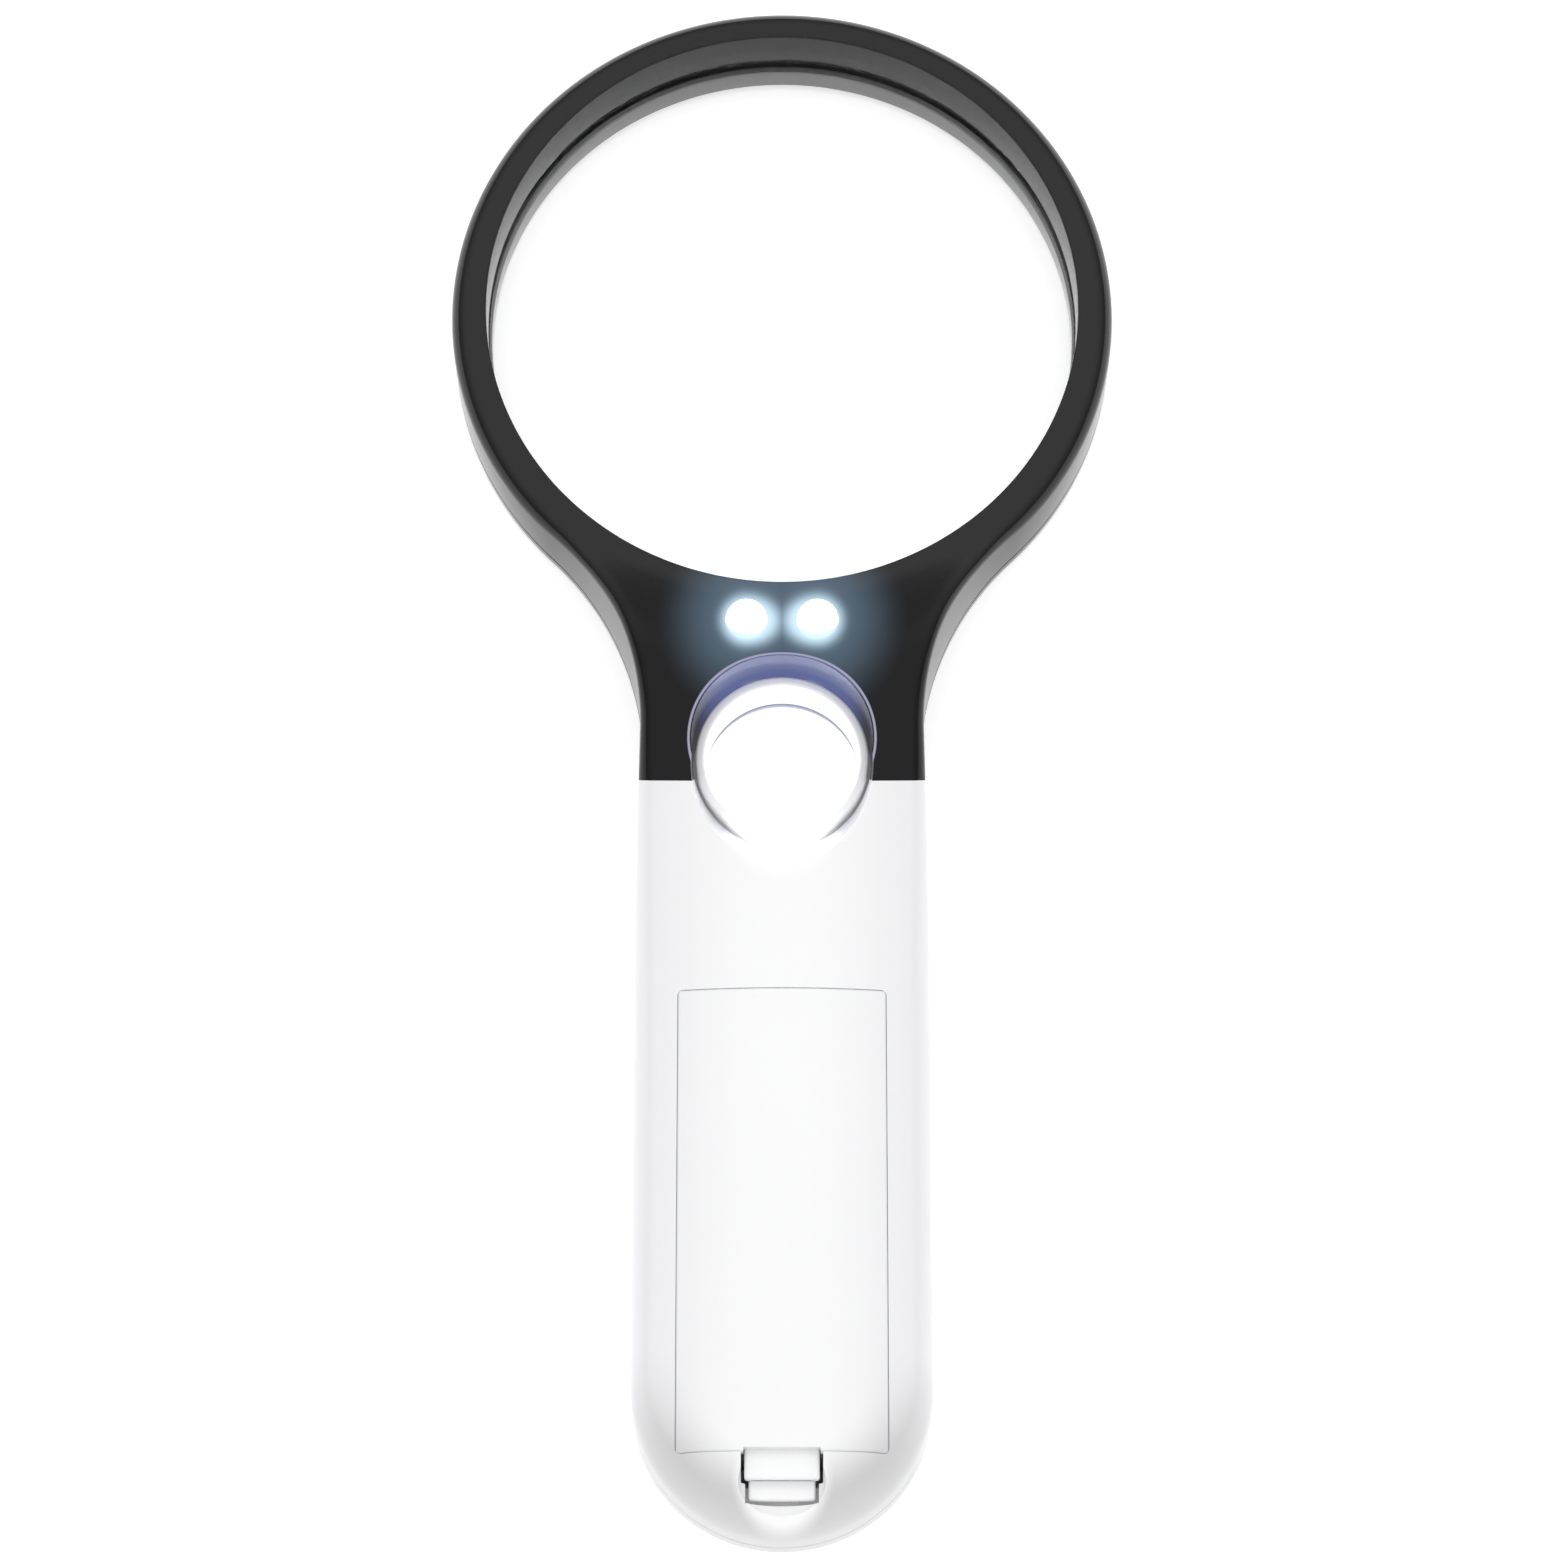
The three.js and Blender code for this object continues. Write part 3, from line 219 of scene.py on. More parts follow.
# ---------------------------------------------------------------- lens frame
# The black ring and neck: glossy black plastic, one moulding, open at the bore and at the loupe's pocket.
# The back band falls slightly outwards and runs up into the neck; below it the frame is hollow.

RING_R, BORE_R = 42.0, 37.5
NECK_W, GRIP_W, NECK_FILLET, GRIP_FULL = 17.4, 17.9, 38.5, -95.0
FILLET_X = NECK_W + NECK_FILLET
FILLET_Y = -math.sqrt((RING_R + NECK_FILLET) ** 2 - FILLET_X**2)
END_Y = -140.6
LOUPE_Y, POCKET_R, POCKET_LEAN = -60.6, 11.1, math.radians(25)
BARREL_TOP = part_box("loupe_barrel")[1].z * 1000
SEAM_Y, SEAM_Z, SEAM_LEAN = -67.0, 22.9, math.radians(20)


def smoothstep(x, start, end):
    t = np.clip((x - start) / (end - start), 0, 1)
    return t * t * (3 - 2 * t)


def edge_gap(x, y):
    """Distance inwards from the outline of ring, neck and grip."""
    ax = np.abs(x)
    on_ring = np.arctan2(y, ax) > math.atan2(FILLET_Y, FILLET_X)
    reach = np.hypot(ax - FILLET_X, y - FILLET_Y) - NECK_FILLET
    t = np.clip((y - FILLET_Y) / (GRIP_FULL - FILLET_Y), 0, 1)
    side = NECK_W + (GRIP_W - NECK_W) * np.sin(math.pi / 2 * t) - ax
    tip = GRIP_W - np.hypot(ax, np.minimum(y - END_Y, 0))
    gap = np.where(y > FILLET_Y, reach, np.where(y > END_Y, side, tip))
    return np.where(on_ring, RING_R - np.hypot(x, y), gap)


def back_height(x, y):
    """Height of the back before its edges are rounded."""
    r = np.hypot(x, y)
    band = 14 - 0.3 * (np.minimum(r, RING_R) - BORE_R)
    spots = [30, 37.5, 39, 41, 44, 46.6, 49.4, 52.7, 56.6, 60.5, 67, 75, 84, 95, 200]
    rises = [14, 14, 14.1, 15.1, 16.85, 18.4, 19.9, 20.85, 21.45, 21.9, 22.5, 23.2, 23.95, 24.5, 24.5]
    neck = sum(np.interp(r + s, spots, rises) for s in (-1.5, -0.75, 0, 0.75, 1.5)) / 5
    share = 1 - smoothstep(np.degrees(np.arctan2(np.abs(x), -y)), 22, 52)
    crown = x * x / 120 * smoothstep(-y, 42, 66)
    return np.where(y > -95, band * (1 - share) + neck * share, 24.5) - crown


def rounding(gap, x, y, wide=0.0):
    """How far an edge's rounding drops below the back, at a distance inwards from the outline."""
    grip = smoothstep(-y, 60, 92)
    tip = np.clip((END_Y - y) / GRIP_W, 0, 1) ** 1.5
    width = 2.1 + 0.9 * grip + 6.5 * tip - wide
    height = 2.1 + 2.2 * grip + 5.5 * tip - wide
    t = 1 - np.clip(gap / np.maximum(width, 0.2), 0, 1)
    return np.maximum(height, 0.2) * (1 - np.sqrt(1 - t * t))


def back(x, y):
    return back_height(x, y) - rounding(edge_gap(x, y), x, y)


def sheet_grid(xy, top, bottom, wrap, spine=False):
    """A closed body from columns of plan points with a top and a bottom height. wrap joins the last column
    to the first; with a spine the columns start on a shared line, which gets no wall."""
    n, m = xy.shape[:2]
    upper = np.dstack([xy, top]).reshape(-1, 3)
    lower = np.dstack([xy, bottom]).reshape(-1, 3)
    base = n * m
    at = lambda i, k: (i % n) * m + k
    columns = n if wrap else n - 1
    faces = []
    for i in range(columns):
        for k in range(m - 1):
            quad = (at(i, k), at(i + 1, k), at(i + 1, k + 1), at(i, k + 1))
            faces += [quad, tuple(base + v for v in reversed(quad))]
        for k in (m - 1,) if spine else (0, m - 1):
            faces.append((at(i, k), at(i + 1, k), base + at(i + 1, k), base + at(i, k)))
    if not wrap:
        for i in (0, n - 1):
            faces += [(at(i, k), at(i, k + 1), base + at(i, k + 1), base + at(i, k)) for k in range(m - 1)]
    return np.vstack([upper, lower]), faces


def ray_columns(y_end, bore):
    """Plan points on rays from the bore to the outline, closer together at both edges."""
    corner = math.degrees(math.atan2(NECK_W + 0.1, -y_end))
    side = np.concatenate([
        np.arange(0, corner - 2, 0.6), np.arange(corner - 2, corner, 0.2), np.arange(corner, 17.5, 0.25),
        np.arange(17.5, 52, 0.6), np.arange(52, 180, 1.4), [180],
    ])
    angles = np.radians(np.concatenate([-side[::-1], side[1:-1]]))
    columns = []
    for a in angles:
        direction = np.array([math.sin(a), -math.cos(a)])
        reach = np.linspace(bore, 95, 1600)
        inside = edge_gap(reach * direction[0], reach * direction[1])
        past = (inside < 0) | (reach * direction[1] < y_end)
        out = reach[max(int(np.argmax(past)) - 1, 1)] if past.any() else reach[-1]
        if y_end / direction[1] < out + 0.1 and direction[1] < -0.5:
            out = y_end / direction[1]
        else:
            low, high = out, out + 0.1
            for _ in range(20):
                out = (low + high) / 2
                low, high = (out, high) if edge_gap(*(out * direction)) > 0 else (low, out)
        near = bore + np.array([0, 0.03, 0.12, 0.25, 0.45])
        stretch = max(1.0, min(4.0, (out - bore) / 6))
        far = out - stretch * np.array([2.1, 1.65, 1.25, 0.9, 0.6, 0.36, 0.18, 0.07, 0])
        reach = np.concatenate([near, np.linspace(near[-1], far[0], 26)[1:-1], far])
        columns.append(reach[:, None] * direction)
    return np.array(columns)


def cut(target, cutters, operation="DIFFERENCE"):
    """Cuts throwaway meshes out of a piece, and gives the result its edges back."""
    for cutter in cutters:
        modifier = target.modifiers.new("cut", "BOOLEAN")
        modifier.operation, modifier.object, modifier.solver = operation, cutter, "MANIFOLD"
    bpy.context.view_layer.update()
    result = bpy.data.meshes.new_from_object(target.evaluated_get(bpy.context.evaluated_depsgraph_get()))
    target.modifiers.clear()
    target.data = result
    for cutter in cutters:
        bpy.data.objects.remove(cutter)
    result.shade_smooth()
    result.set_sharp_from_angle(angle=math.radians(32))
    return target


def block(x0, x1, y0, y1, z0, z1):
    """Vertices and faces of a box."""
    corners = [(x, y, z) for x in (x0, x1) for y in (y0, y1) for z in (z0, z1)]
    return corners, [(0, 1, 3, 2), (4, 6, 7, 5), (0, 4, 5, 1), (2, 3, 7, 6), (0, 2, 6, 4), (1, 5, 7, 3)]


def bar(name, radius, low, high, steps, at=(0, 0, 0), lean=0.0):
    """Throwaway round bar between two heights on its own axis, which may lean."""
    return make(name, *turned([(0, low), (radius, low), (radius, high), (0, high)], steps, at, lean), None)


def eye_bore():
    """Throwaway body of the eyepiece ring's stepped hole."""
    steps = [(0, -9), (11.9, -9), (11.9, 2), (13.1, 2), (13.1, 9), (0, 9)]
    return make("eye", *turned(steps, 96, (0, LOUPE_Y, 0)), None)


def seam_side(side, width):
    """Throwaway body of everything past the leaning seam on one side: 1 is the ring's and -1 the grip's."""
    corners, faces = block(-90, 90, 0, 90 * side, -90, 90)
    turn = np.array(Matrix.Rotation(SEAM_LEAN, 3, "X"))
    moved = (np.array(corners) + (0, width * side, 0)) @ turn.T + (0, SEAM_Y, SEAM_Z)
    return make("seam", moved, faces, None)


def well(radius, low):
    """Throwaway bodies of the loupe's well: upright, and leaning towards the grip."""
    start = (0, LOUPE_Y, BARREL_TOP + 0.3)
    return [
        bar("well", radius, low, 40, 144, (0, LOUPE_Y, 0)),
        bar("well_lean", radius, 0, 30, 144, start, POCKET_LEAN),
    ]


black = Finish("glossy black plastic", IOR=1.15, Coat_IOR=1.5, Coat_Roughness=0.04)
fog = black.noise(30, 4)
specks = black.noise(0.8, 2).ramp(0.72, 0.78)
black.colours(fog, (0.004, 0.004, 0.005), (0.008, 0.008, 0.009))
black.drive("Roughness", fog * 0.10 + specks * 0.12 + 0.14)
black.bump(black.noise(5, 2), 0.012, 0.25)
x, y, z = (black.axis(name) for name in "XYZ")
on_neck = (y * -1).ramp(36, 50)
black.drive("Coat Weight", on_neck * -0.32 + 0.47)

# Light of the two lamps on the slope round them, and of the third lamp on the far wall of the loupe's pocket.
aside = abs(x) - 4.4
lamp_gap = (aside.largest(aside * -0.75) ** 2.0 + ((y + 43.8) * 0.75) ** 2.0) ** 0.5
on_slope = z.ramp(9, 13)
wide = (lamp_gap * -1 + 11.5).ramp(0, 9) * 0.18 * on_slope
tight = (lamp_gap * -1 + 5.2).ramp(0, 3.2) ** 2.8 * on_slope
from_loupe = (x ** 2.0 + (y - LOUPE_Y) ** 2.0) ** 0.5
in_pocket = (from_loupe * -1 + 11.5).ramp(0, 0.3) * (z * -1 + 22).ramp(0, 1)
far_wall = in_pocket * (y - LOUPE_Y).ramp(3.0, 9.5)
glow = black.colours(wide, (0, 0, 0), (0.42, 0.66, 0.92), "Emission Color")
glow = black.colours(far_wall * 0.8, glow, (0.10, 0.12, 0.30), "Emission Color")
# A painted highlight: a thin bright line of emission along the pocket's rim.
painted_rim_highlight = (abs(from_loupe - 11.4) * -1 + 0.22).ramp(0, 0.16) * z.ramp(18.5, 19.5)
glow = black.colours(painted_rim_highlight, glow, (0.34, 0.34, 0.46), "Emission Color")
black.colours(tight, glow, (0.62, 0.84, 1.0), "Emission Color")
black.shader.inputs["Emission Strength"].default_value = 1.0

plan = ray_columns(-75.0, BORE_R)
px, py = plan[..., 0], plan[..., 1]
gap = edge_gap(px, py)
top = back(px, py)
lip = np.clip(1 - (np.hypot(px, py) - BORE_R) / 0.45, 0, 1)
top = top - 0.45 * (1 - np.sqrt(1 - lip * lip))
FRAME_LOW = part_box("lens_frame")[0].z * 1000
solid = (gap < 2.2) | (np.hypot(px, py) < LENS_R + 2.4) | (np.hypot(px, py - LOUPE_Y) < POCKET_R + 1.5)
under = np.where(solid, FRAME_LOW, np.maximum(back_height(px, py) - 2.4, FRAME_LOW))
lens_frame = make("lens_frame_black", *sheet_grid(plan, top, under, True), black.material)
seat_profile = [(0, -9), (LENS_R + 0.3, -9), (LENS_R + 0.3, LENS_Z + LENS_EDGE + 0.3), (0, 7.2)]
seat = make("seat", *turned(seat_profile, 192), None)
holes = [bar("hole", 2.62, -9, 6, 48, (s * 4.4, -43.8, 16.8), -math.atan(0.62)) for s in (-1, 1)]
chamfer = [(0, 0), (POCKET_R - 0.1, 0), (POCKET_R + 0.5, 0.6), (POCKET_R + 0.9, 6), (0, 6)]
rim = make("rim", *turned(chamfer, 144, (0, LOUPE_Y, 21.25), -math.radians(7.2)), None)
flange_room = bar("flange", 13.1, -9, 8.1, 96, (0, LOUPE_Y, 0))
cut(lens_frame, [seam_side(-1, -0.12), seat, flange_room, *well(POCKET_R, -9), rim, *holes])
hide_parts("lens_frame")
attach(lens_frame, "magnifier")


# ---------------------------------------------------------------- front frame
# The thin black plate that closes the ring and neck on the front: the same glossy plastic, snapped on.
# Its lip reaches under the lens, and a round hole in the neck takes the eyepiece ring.

FRONT_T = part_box("front_frame")[1].z * 1000 - 1.75
APERTURE_R = LENS_R - 1
plan = ray_columns(-75.0, APERTURE_R)
px, py = plan[..., 0], plan[..., 1]
gap = edge_gap(px, py)
low = 1.6 * (1 - np.sqrt(1 - (1 - np.clip(gap / 1.6, 0, 1)) ** 2))
rim = np.clip(1 - (np.hypot(px, py) - APERTURE_R) / 0.6, 0, 1)
low = low + 0.6 * (1 - np.sqrt(1 - rim * rim))
high = np.where(np.hypot(px, py) < LENS_R + 0.4, LENS_Z - 0.75 + (np.hypot(px, py) - LENS_R) * 0.24, FRONT_T)
front_frame = make("front_frame_black", *sheet_grid(plan, high, low, True), black.material)
cut(front_frame, [seam_side(-1, -0.12), eye_bore()])
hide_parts("front_frame")
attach(front_frame, "magnifier")


# ---------------------------------------------------------------- loupe barrel
# A short white tube over the small lens, moulded with a flange under the frame and a soft rim.

DOOR_TOP, DOOR_END = -93.4, -149.6
white = Finish("white plastic", IOR=1.46, Subsurface_Weight=0.06, Subsurface_Scale=0.002)
x, y, z = (white.axis(name) for name in "XYZ")
fog = white.noise(40, 4)
from_end = (x ** 2.0 + (y - END_Y) ** 2.0) ** 0.5
from_bowl = (x ** 2.0 + (y - DOOR_END + 3.1) ** 2.0) ** 0.5
in_bowl = (from_bowl * -1 + 6.2).ramp(0, 1.8) * (y * -1 + DOOR_END).ramp(0, 0.3) * z.ramp(14, 18)
# Painted shade: the white is darker towards the grip's sides and darker still round its round end, leaving
# out the finger bowl.
side = abs(x).ramp(2, 19) * (in_bowl * -1 + 1)
tip = from_end.ramp(9, 16) * (y * -1).ramp(136, 152) * z.ramp(-1, 3) * (in_bowl * -1 + 1)
tone = white.colours(fog, (0.82, 0.82, 0.825), (0.86, 0.86, 0.86))
tone = white.colours(side * 0.55, tone, (0.66, 0.65, 0.68))
white.colours(tip * 0.85, tone, (0.50, 0.50, 0.505))
white.drive("Roughness", fog * 0.12 + 0.24)
white.bump(white.noise(0.7, 2) * 0.5 + white.noise(14, 1), 0.01, 0.25)

# Light of the third lamp round it and on the barrel, painted as emission, and a painted brightening of the
# finger bowl at the round end.
lamp_gap = (x ** 2.0 + (y + 73.2) ** 2.0 + ((z - 16) * 0.8) ** 2.0) ** 0.5
from_loupe = (x ** 2.0 + (y - LOUPE_Y) ** 2.0) ** 0.5
in_well = (from_loupe * -1 + 11.6).ramp(0, 0.4) * z.ramp(4, 7)
lit = ((lamp_gap * -1 + 10).ramp(0, 8) + in_well * 0.22 + in_bowl * 0.10).ramp(0, 1)
white.colours(lit, (0, 0, 0), (0.95, 0.94, 1.0), "Emission Color")
white.shader.inputs["Emission Strength"].default_value = 0.6

low, high = (corner.z * 1000 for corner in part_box("loupe_barrel"))
BARREL_R = POCKET_R - 0.4
profile = [
    (BARREL_R - 1.1, low), (12.8, low), (12.8, low + 1.5), (BARREL_R, low + 1.5),
    *arc(BARREL_R - 0.35, high - 0.35, 0.35, 0, 90, 5), *arc(BARREL_R - 0.75, high - 0.35, 0.35, 90, 180, 5),
]
barrel = make("barrel_white", *turned(profile, 144, (0, LOUPE_Y, 0)), white.material)
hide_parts("loupe_barrel")
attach(barrel, "magnifier")


# ---------------------------------------------------------------- loupe lens
# The small strong lens: clear acrylic with steep round faces, dropped into the eyepiece ring.

low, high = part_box("loupe_lens")
loupe_profile = lens_profile(10.5, 2.0, 2.2, low.z * 1000 + 2.2, 28)
# Painted light: the lens glows with white emission, which fades to almost none at its rim and leaves a darker
# edge.
lit_clear = Finish("lit clear acrylic", Transmission_Weight=0.9, IOR=1.49)
lit_clear.drive("Roughness", lit_clear.noise(5, 2) * 0.03 + 0.01)
from_axis = (lit_clear.axis("X") ** 2.0 + (lit_clear.axis("Y") - LOUPE_Y) ** 2.0) ** 0.5
shade = from_axis.ramp(9.1, 9.7) * 0.8 + lit_clear.noise(9, 1) * 0.15
lit_clear.colours(shade, (0.97, 0.97, 1.0), (0.05, 0.05, 0.06), "Emission Color")
lit_clear.shader.inputs["Emission Strength"].default_value = 0.62
lit_clear.let_through(0.3)
loupe_lens = make("loupe_lens_clear", *turned(loupe_profile, 128, (0, LOUPE_Y, 0)), lit_clear.material)
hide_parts("loupe_lens")
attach(loupe_lens, "magnifier")


# ---------------------------------------------------------------- eyepiece ring
# The black ring round the small lens on the front, with a rounded lip, caught between frame and barrel.

profile = [
    (9.4, 2.7), *arc(9.9, 0.8, 0.5, 180, 270, 5), *arc(11.1, 0.8, 0.5, 270, 360, 5), (11.6, 2.3), (12.8, 2.3),
    (12.8, 4.6), (10.8, 4.6), (10.8, 3.3), (10.5, 3.3),
]
eyepiece = make("eyepiece_black", *turned(profile, 144, (0, LOUPE_Y, 0)), black.material)
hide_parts("eyepiece_ring")
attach(eyepiece, "magnifier")


# ---------------------------------------------------------------- handle back
# The white back shell of the grip: glossy white plastic, with the door's recess, the third lamp's hole and
# the finger hollow at its round end. It is moulded hollow and screwed to the front shell inside the bay.

SPLIT_Z = 11.5
DOOR_W, DOOR_T, LEDGE_W = 12.5, 1.8, 1.3
LATCH_W, PAD_W, LATCH_Z, LATCH_DROP, SLOT = 4.4, 3.9, 22.9, 1.5, 0.4
strip_end = DOOR_END - 2.4
pad_end = strip_end - 2.8
leg_back = strip_end - 0.6


def grip_columns(y_start):
    """Plan points from the grip's spine to its outline, along both sides and round the end."""
    samples = np.concatenate([np.linspace(0, 0.82, 26), 1 - 0.18 * np.linspace(1, 0, 15)[1:] ** 1.8])
    rows = np.concatenate([np.arange(y_start, GRIP_FULL, -1.2), np.arange(GRIP_FULL, END_Y, -1.5)])
    right = []
    for y in rows:
        right.append([(edge_gap(0.0, y) * s, y) for s in samples])
    for a in np.radians(np.linspace(0, 90, 40)):
        right.append([(GRIP_W * s * math.cos(a), END_Y - GRIP_W * s * math.sin(a)) for s in samples])
    right = np.array(right)
    left = right[::-1] * (-1, 1)
    return np.concatenate([right, left[1:]])


def patch(half, y0, y1, corner, high, low, edge=0.0):
    """Closed body over a rounded rectangle, between two heights given as functions of x and y."""
    rows = np.concatenate([
        y0 + corner * np.array([0.0, 0.02, 0.1, 0.25, 0.5, 0.75, 1]),
        np.linspace(y0 + corner, y1 - corner, 60)[1:-1],
        y1 - corner * np.array([1, 0.75, 0.5, 0.25, 0.1, 0.02, 0.0]),
    ])
    across = np.concatenate([-1 + 0.04 * np.array([0, 0.15, 0.35, 0.65, 1]), np.linspace(-0.95, 0.95, 44)])
    across = np.concatenate([across, 1 - 0.04 * np.array([1, 0.65, 0.35, 0.15, 0])])
    inward = np.minimum(np.minimum(rows - y0, y1 - rows), corner)
    widths = half - corner + np.sqrt(np.maximum(corner**2 - (corner - inward) ** 2, 0))
    xy = np.stack([np.outer(widths, across), np.tile(rows[:, None], (1, len(across)))], -1)
    x, y = xy[..., 0], xy[..., 1]
    inner = np.minimum(np.minimum(y - y0, y1 - y), half - np.abs(x))
    t = 1 - np.clip(inner / max(edge, 1e-6), 0, 1)
    return sheet_grid(xy, high(x, y) - edge * (1 - np.sqrt(1 - t * t)), low(x, y), False)


plan = grip_columns(-52.0)
px, py = plan[..., 0], plan[..., 1]
gap = edge_gap(px, py)
under_door = (np.abs(px) < DOOR_W + 1.6) & (py < DOOR_TOP + 1.6) & (py > DOOR_END - 1.6)
skin = np.where(under_door, 3.7, 2.4)
hollow = back_height(px, py) - skin - rounding(np.maximum(gap - 2.2, 0), px, py, 2.2)
solid = (gap < 2.2) | (py > -82.0) | ((np.abs(px) < 6.5) & (py < DOOR_END + 0.2))
bottom = np.where(solid, SPLIT_Z + 0.1, np.maximum(hollow, SPLIT_Z + 0.1))
top = np.maximum(back(px, py), SPLIT_Z + 0.3)
handle_back = make("handle_back_white", *sheet_grid(plan, top, bottom, False, True), white.material)
above = lambda x, y: 0 * x + 40
below = lambda x, y: 0 * x - 5
ledge = lambda x, y: back(x, y) - DOOR_T - 0.5
recess = make("recess", *patch(DOOR_W, DOOR_END, DOOR_TOP, 0.7, above, ledge), None)
bay = patch(DOOR_W - LEDGE_W, DOOR_END + LEDGE_W, DOOR_TOP - LEDGE_W, 0.8, above, below)
opening = make("bay", *bay, None)
wall = leg_back - 0.3
side = LATCH_W + SLOT
room = make("room", *block(-side, side, wall, DOOR_END + LEDGE_W + 1, LATCH_Z - 10.3, 40), None)
side = PAD_W + SLOT
pad_floor = LATCH_Z - LATCH_DROP - 2.2
pad_room = make("pad room", *block(-side, side, pad_end - 0.5, wall + 0.5, pad_floor, 40), None)
ball = [(0, -5.1), *arc(0, 0, 5.1, -88, 88, 40), (0, 5.1)]
bowl, bowl_faces = turned(ball, 128)
scoop = make("scoop", bowl * (1, 1, 0.72) + (0, DOOR_END - 3.2, 23.6), bowl_faces, None)
LED_Z = 17.2
led_y = LOUPE_Y - POCKET_R / math.cos(POCKET_LEAN) - (LED_Z - BARREL_TOP) * math.tan(POCKET_LEAN)
lamp_lean = POCKET_LEAN - math.pi / 2
lamp_hole = bar("lamp", 2.65, -14, 6, 48, (0, led_y, LED_Z), lamp_lean)
flange_room = bar("flange", 13.1, -9, 8.1, 96, (0, LOUPE_Y, 0))
cut(handle_back, [
    seam_side(1, 0.12), recess, opening, room, pad_room, scoop, lamp_hole, flange_room, *well(POCKET_R, -9),
])
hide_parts("handle_back")
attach(handle_back, "magnifier")


# ---------------------------------------------------------------- battery door
# A curved white panel flush with the back, moulded with softened edges. Its hooks and its rib come further
# down, as a piece that rides with it.

inset = 0.02
inside_face = lambda x, y: back(x, y) - DOOR_T
panel = patch(DOOR_W - inset, DOOR_END + inset, DOOR_TOP - inset, 0.65, back, inside_face, 0.3)
door = make("door_white", *panel, white.material)
side = LATCH_W + 0.1
tongue_gap = make("tongue gap", *block(-side, side, DOOR_END - 2, DOOR_END + 0.5, 10, 40), None)
cut(door, [tongue_gap])
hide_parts("battery_door")
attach(door, "door")


# ---------------------------------------------------------------- door latch
# The door's sprung tongue: a white strip, a lower finger pad and a leg that catches the shell.

def slabs(name, boxes, material, radius, segments=4):
    """One piece from boxes with rounded edges."""
    vertices, faces = [], []
    for limits in boxes:
        corners, sides = block(*limits)
        faces += [tuple(v + len(vertices) for v in side) for side in sides]
        vertices += corners
    made = make(name, vertices, faces, material)
    rounded = made.modifiers.new("edges", "BEVEL")
    rounded.width, rounded.segments, rounded.limit_method = radius / 1000, segments, "ANGLE"
    return cut(made, [])


pad_z = LATCH_Z - LATCH_DROP
latch = slabs(
    "latch_white",
    [
        (-LATCH_W, LATCH_W, leg_back, DOOR_END + 0.8, LATCH_Z - 1.5, LATCH_Z),
        (-PAD_W, PAD_W, pad_end, strip_end + 0.4, pad_z - 1.2, pad_z),
        (-PAD_W, PAD_W, leg_back, leg_back + 1.1, LATCH_Z - 9.5, LATCH_Z - 0.4),
        (-2, 2, leg_back - 0.7, leg_back + 0.5, LATCH_Z - 8.9, LATCH_Z - 7.9),
    ],
    white.material, 0.35,
)
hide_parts("door_latch")
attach(latch, "latch")


# ---------------------------------------------------------------- handle front
# The white front shell: the same plastic, with softly rounded sides and an oval dish for the switch knob.

plan = grip_columns(-52.0)
px, py = plan[..., 0], plan[..., 1]
gap = edge_gap(px, py)
low = px * px / 160 + rounding(gap, px, py)
low = np.minimum(low, SPLIT_Z - 0.4)
cavity = np.where(gap < 2.2, SPLIT_Z - 0.1, np.minimum(low + 2.3, SPLIT_Z - 0.1))
cavity = np.where((np.abs(px) < 10.6) & (np.abs(py + 86.0) < 8.8), np.maximum(cavity, 3.7), cavity)
cavity = np.where(py > -76.6, SPLIT_Z - 0.1, cavity)
handle_front = make("handle_front_white", *sheet_grid(plan, cavity, low, False, True), white.material)
dish_vertices, dish_faces = turned([(0, -3), (9.8, -3), (9.6, 0.6), (8.9, 1.5), (7.6, 1.9), (0, 1.9)], 96)
dish = make("dish", dish_vertices * (1, 8 / 9.6, 1) + (0, -86.0, 0), dish_faces, None)
slot_cut = make("slot", *block(-2.2, 2.2, -86.0 - 4.15, -86.0 + 4.15, -5, 9), None)
bore = bar("bore", 13.1, 5, 20, 96, (0, LOUPE_Y, 0))
cut(handle_front, [seam_side(1, 0.12), dish, slot_cut, eye_bore(), bore])
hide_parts("handle_front")
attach(handle_front, "magnifier")


# ---------------------------------------------------------------- lamps
# Three white 5 mm lamps: clear epoxy bullets with a flange, lit, each with two tinned leads to its board.

epoxy = Finish("lit epoxy", Roughness=0.12, IOR=1.54, Base_Color=(0.9, 0.96, 1, 1), Emission_Strength=5.0)
middle = epoxy.noise(1.5, 1)
epoxy.colours(middle, (0.80, 0.94, 1.0), (0.92, 0.99, 1.0), "Emission Color")
tin = Finish("tinned lead", Metallic=1.0, Base_Color=(0.7, 0.7, 0.68, 1))
tin.drive("Roughness", tin.noise(0.6, 2) * 0.2 + 0.3)
SHOWN = 2.6
dome = [
    (0, SHOWN - 8), (2.9, SHOWN - 8), (2.9, SHOWN - 7), (2.5, SHOWN - 7),
    *arc(0, SHOWN - 2.5, 2.5, 0, 90, 16),
]
main_lean = math.atan(0.62)
led_main_y = -math.sqrt(44**2 - 4.4**2)
lamps = {
    "led_left": ((-4.4, led_main_y, 16.8), -main_lean),
    "led_right": ((4.4, led_main_y, 16.8), -main_lean),
    "led_loupe": ((0, led_y, LED_Z), lamp_lean),
}
for node, (at, lean) in lamps.items():
    lamp = make(node + "_lit", *turned(dome, 64, at, lean), epoxy.material)
    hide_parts(node)
    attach(lamp, "magnifier")
    for side in (-1, 1):
        foot = SHOWN - 10.2
        shank = [(0, foot), (0.15, foot), (0.25, foot + 0.1), (0.25, SHOWN - 7.6), (0, SHOWN - 7.6)]
        start = (at[0] + side * 1.27, *at[1:])
        lead = make(f"{node}_lead_{side + 1}", *turned(shank, 16, start, lean), tin.material)
        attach(lead, "magnifier")


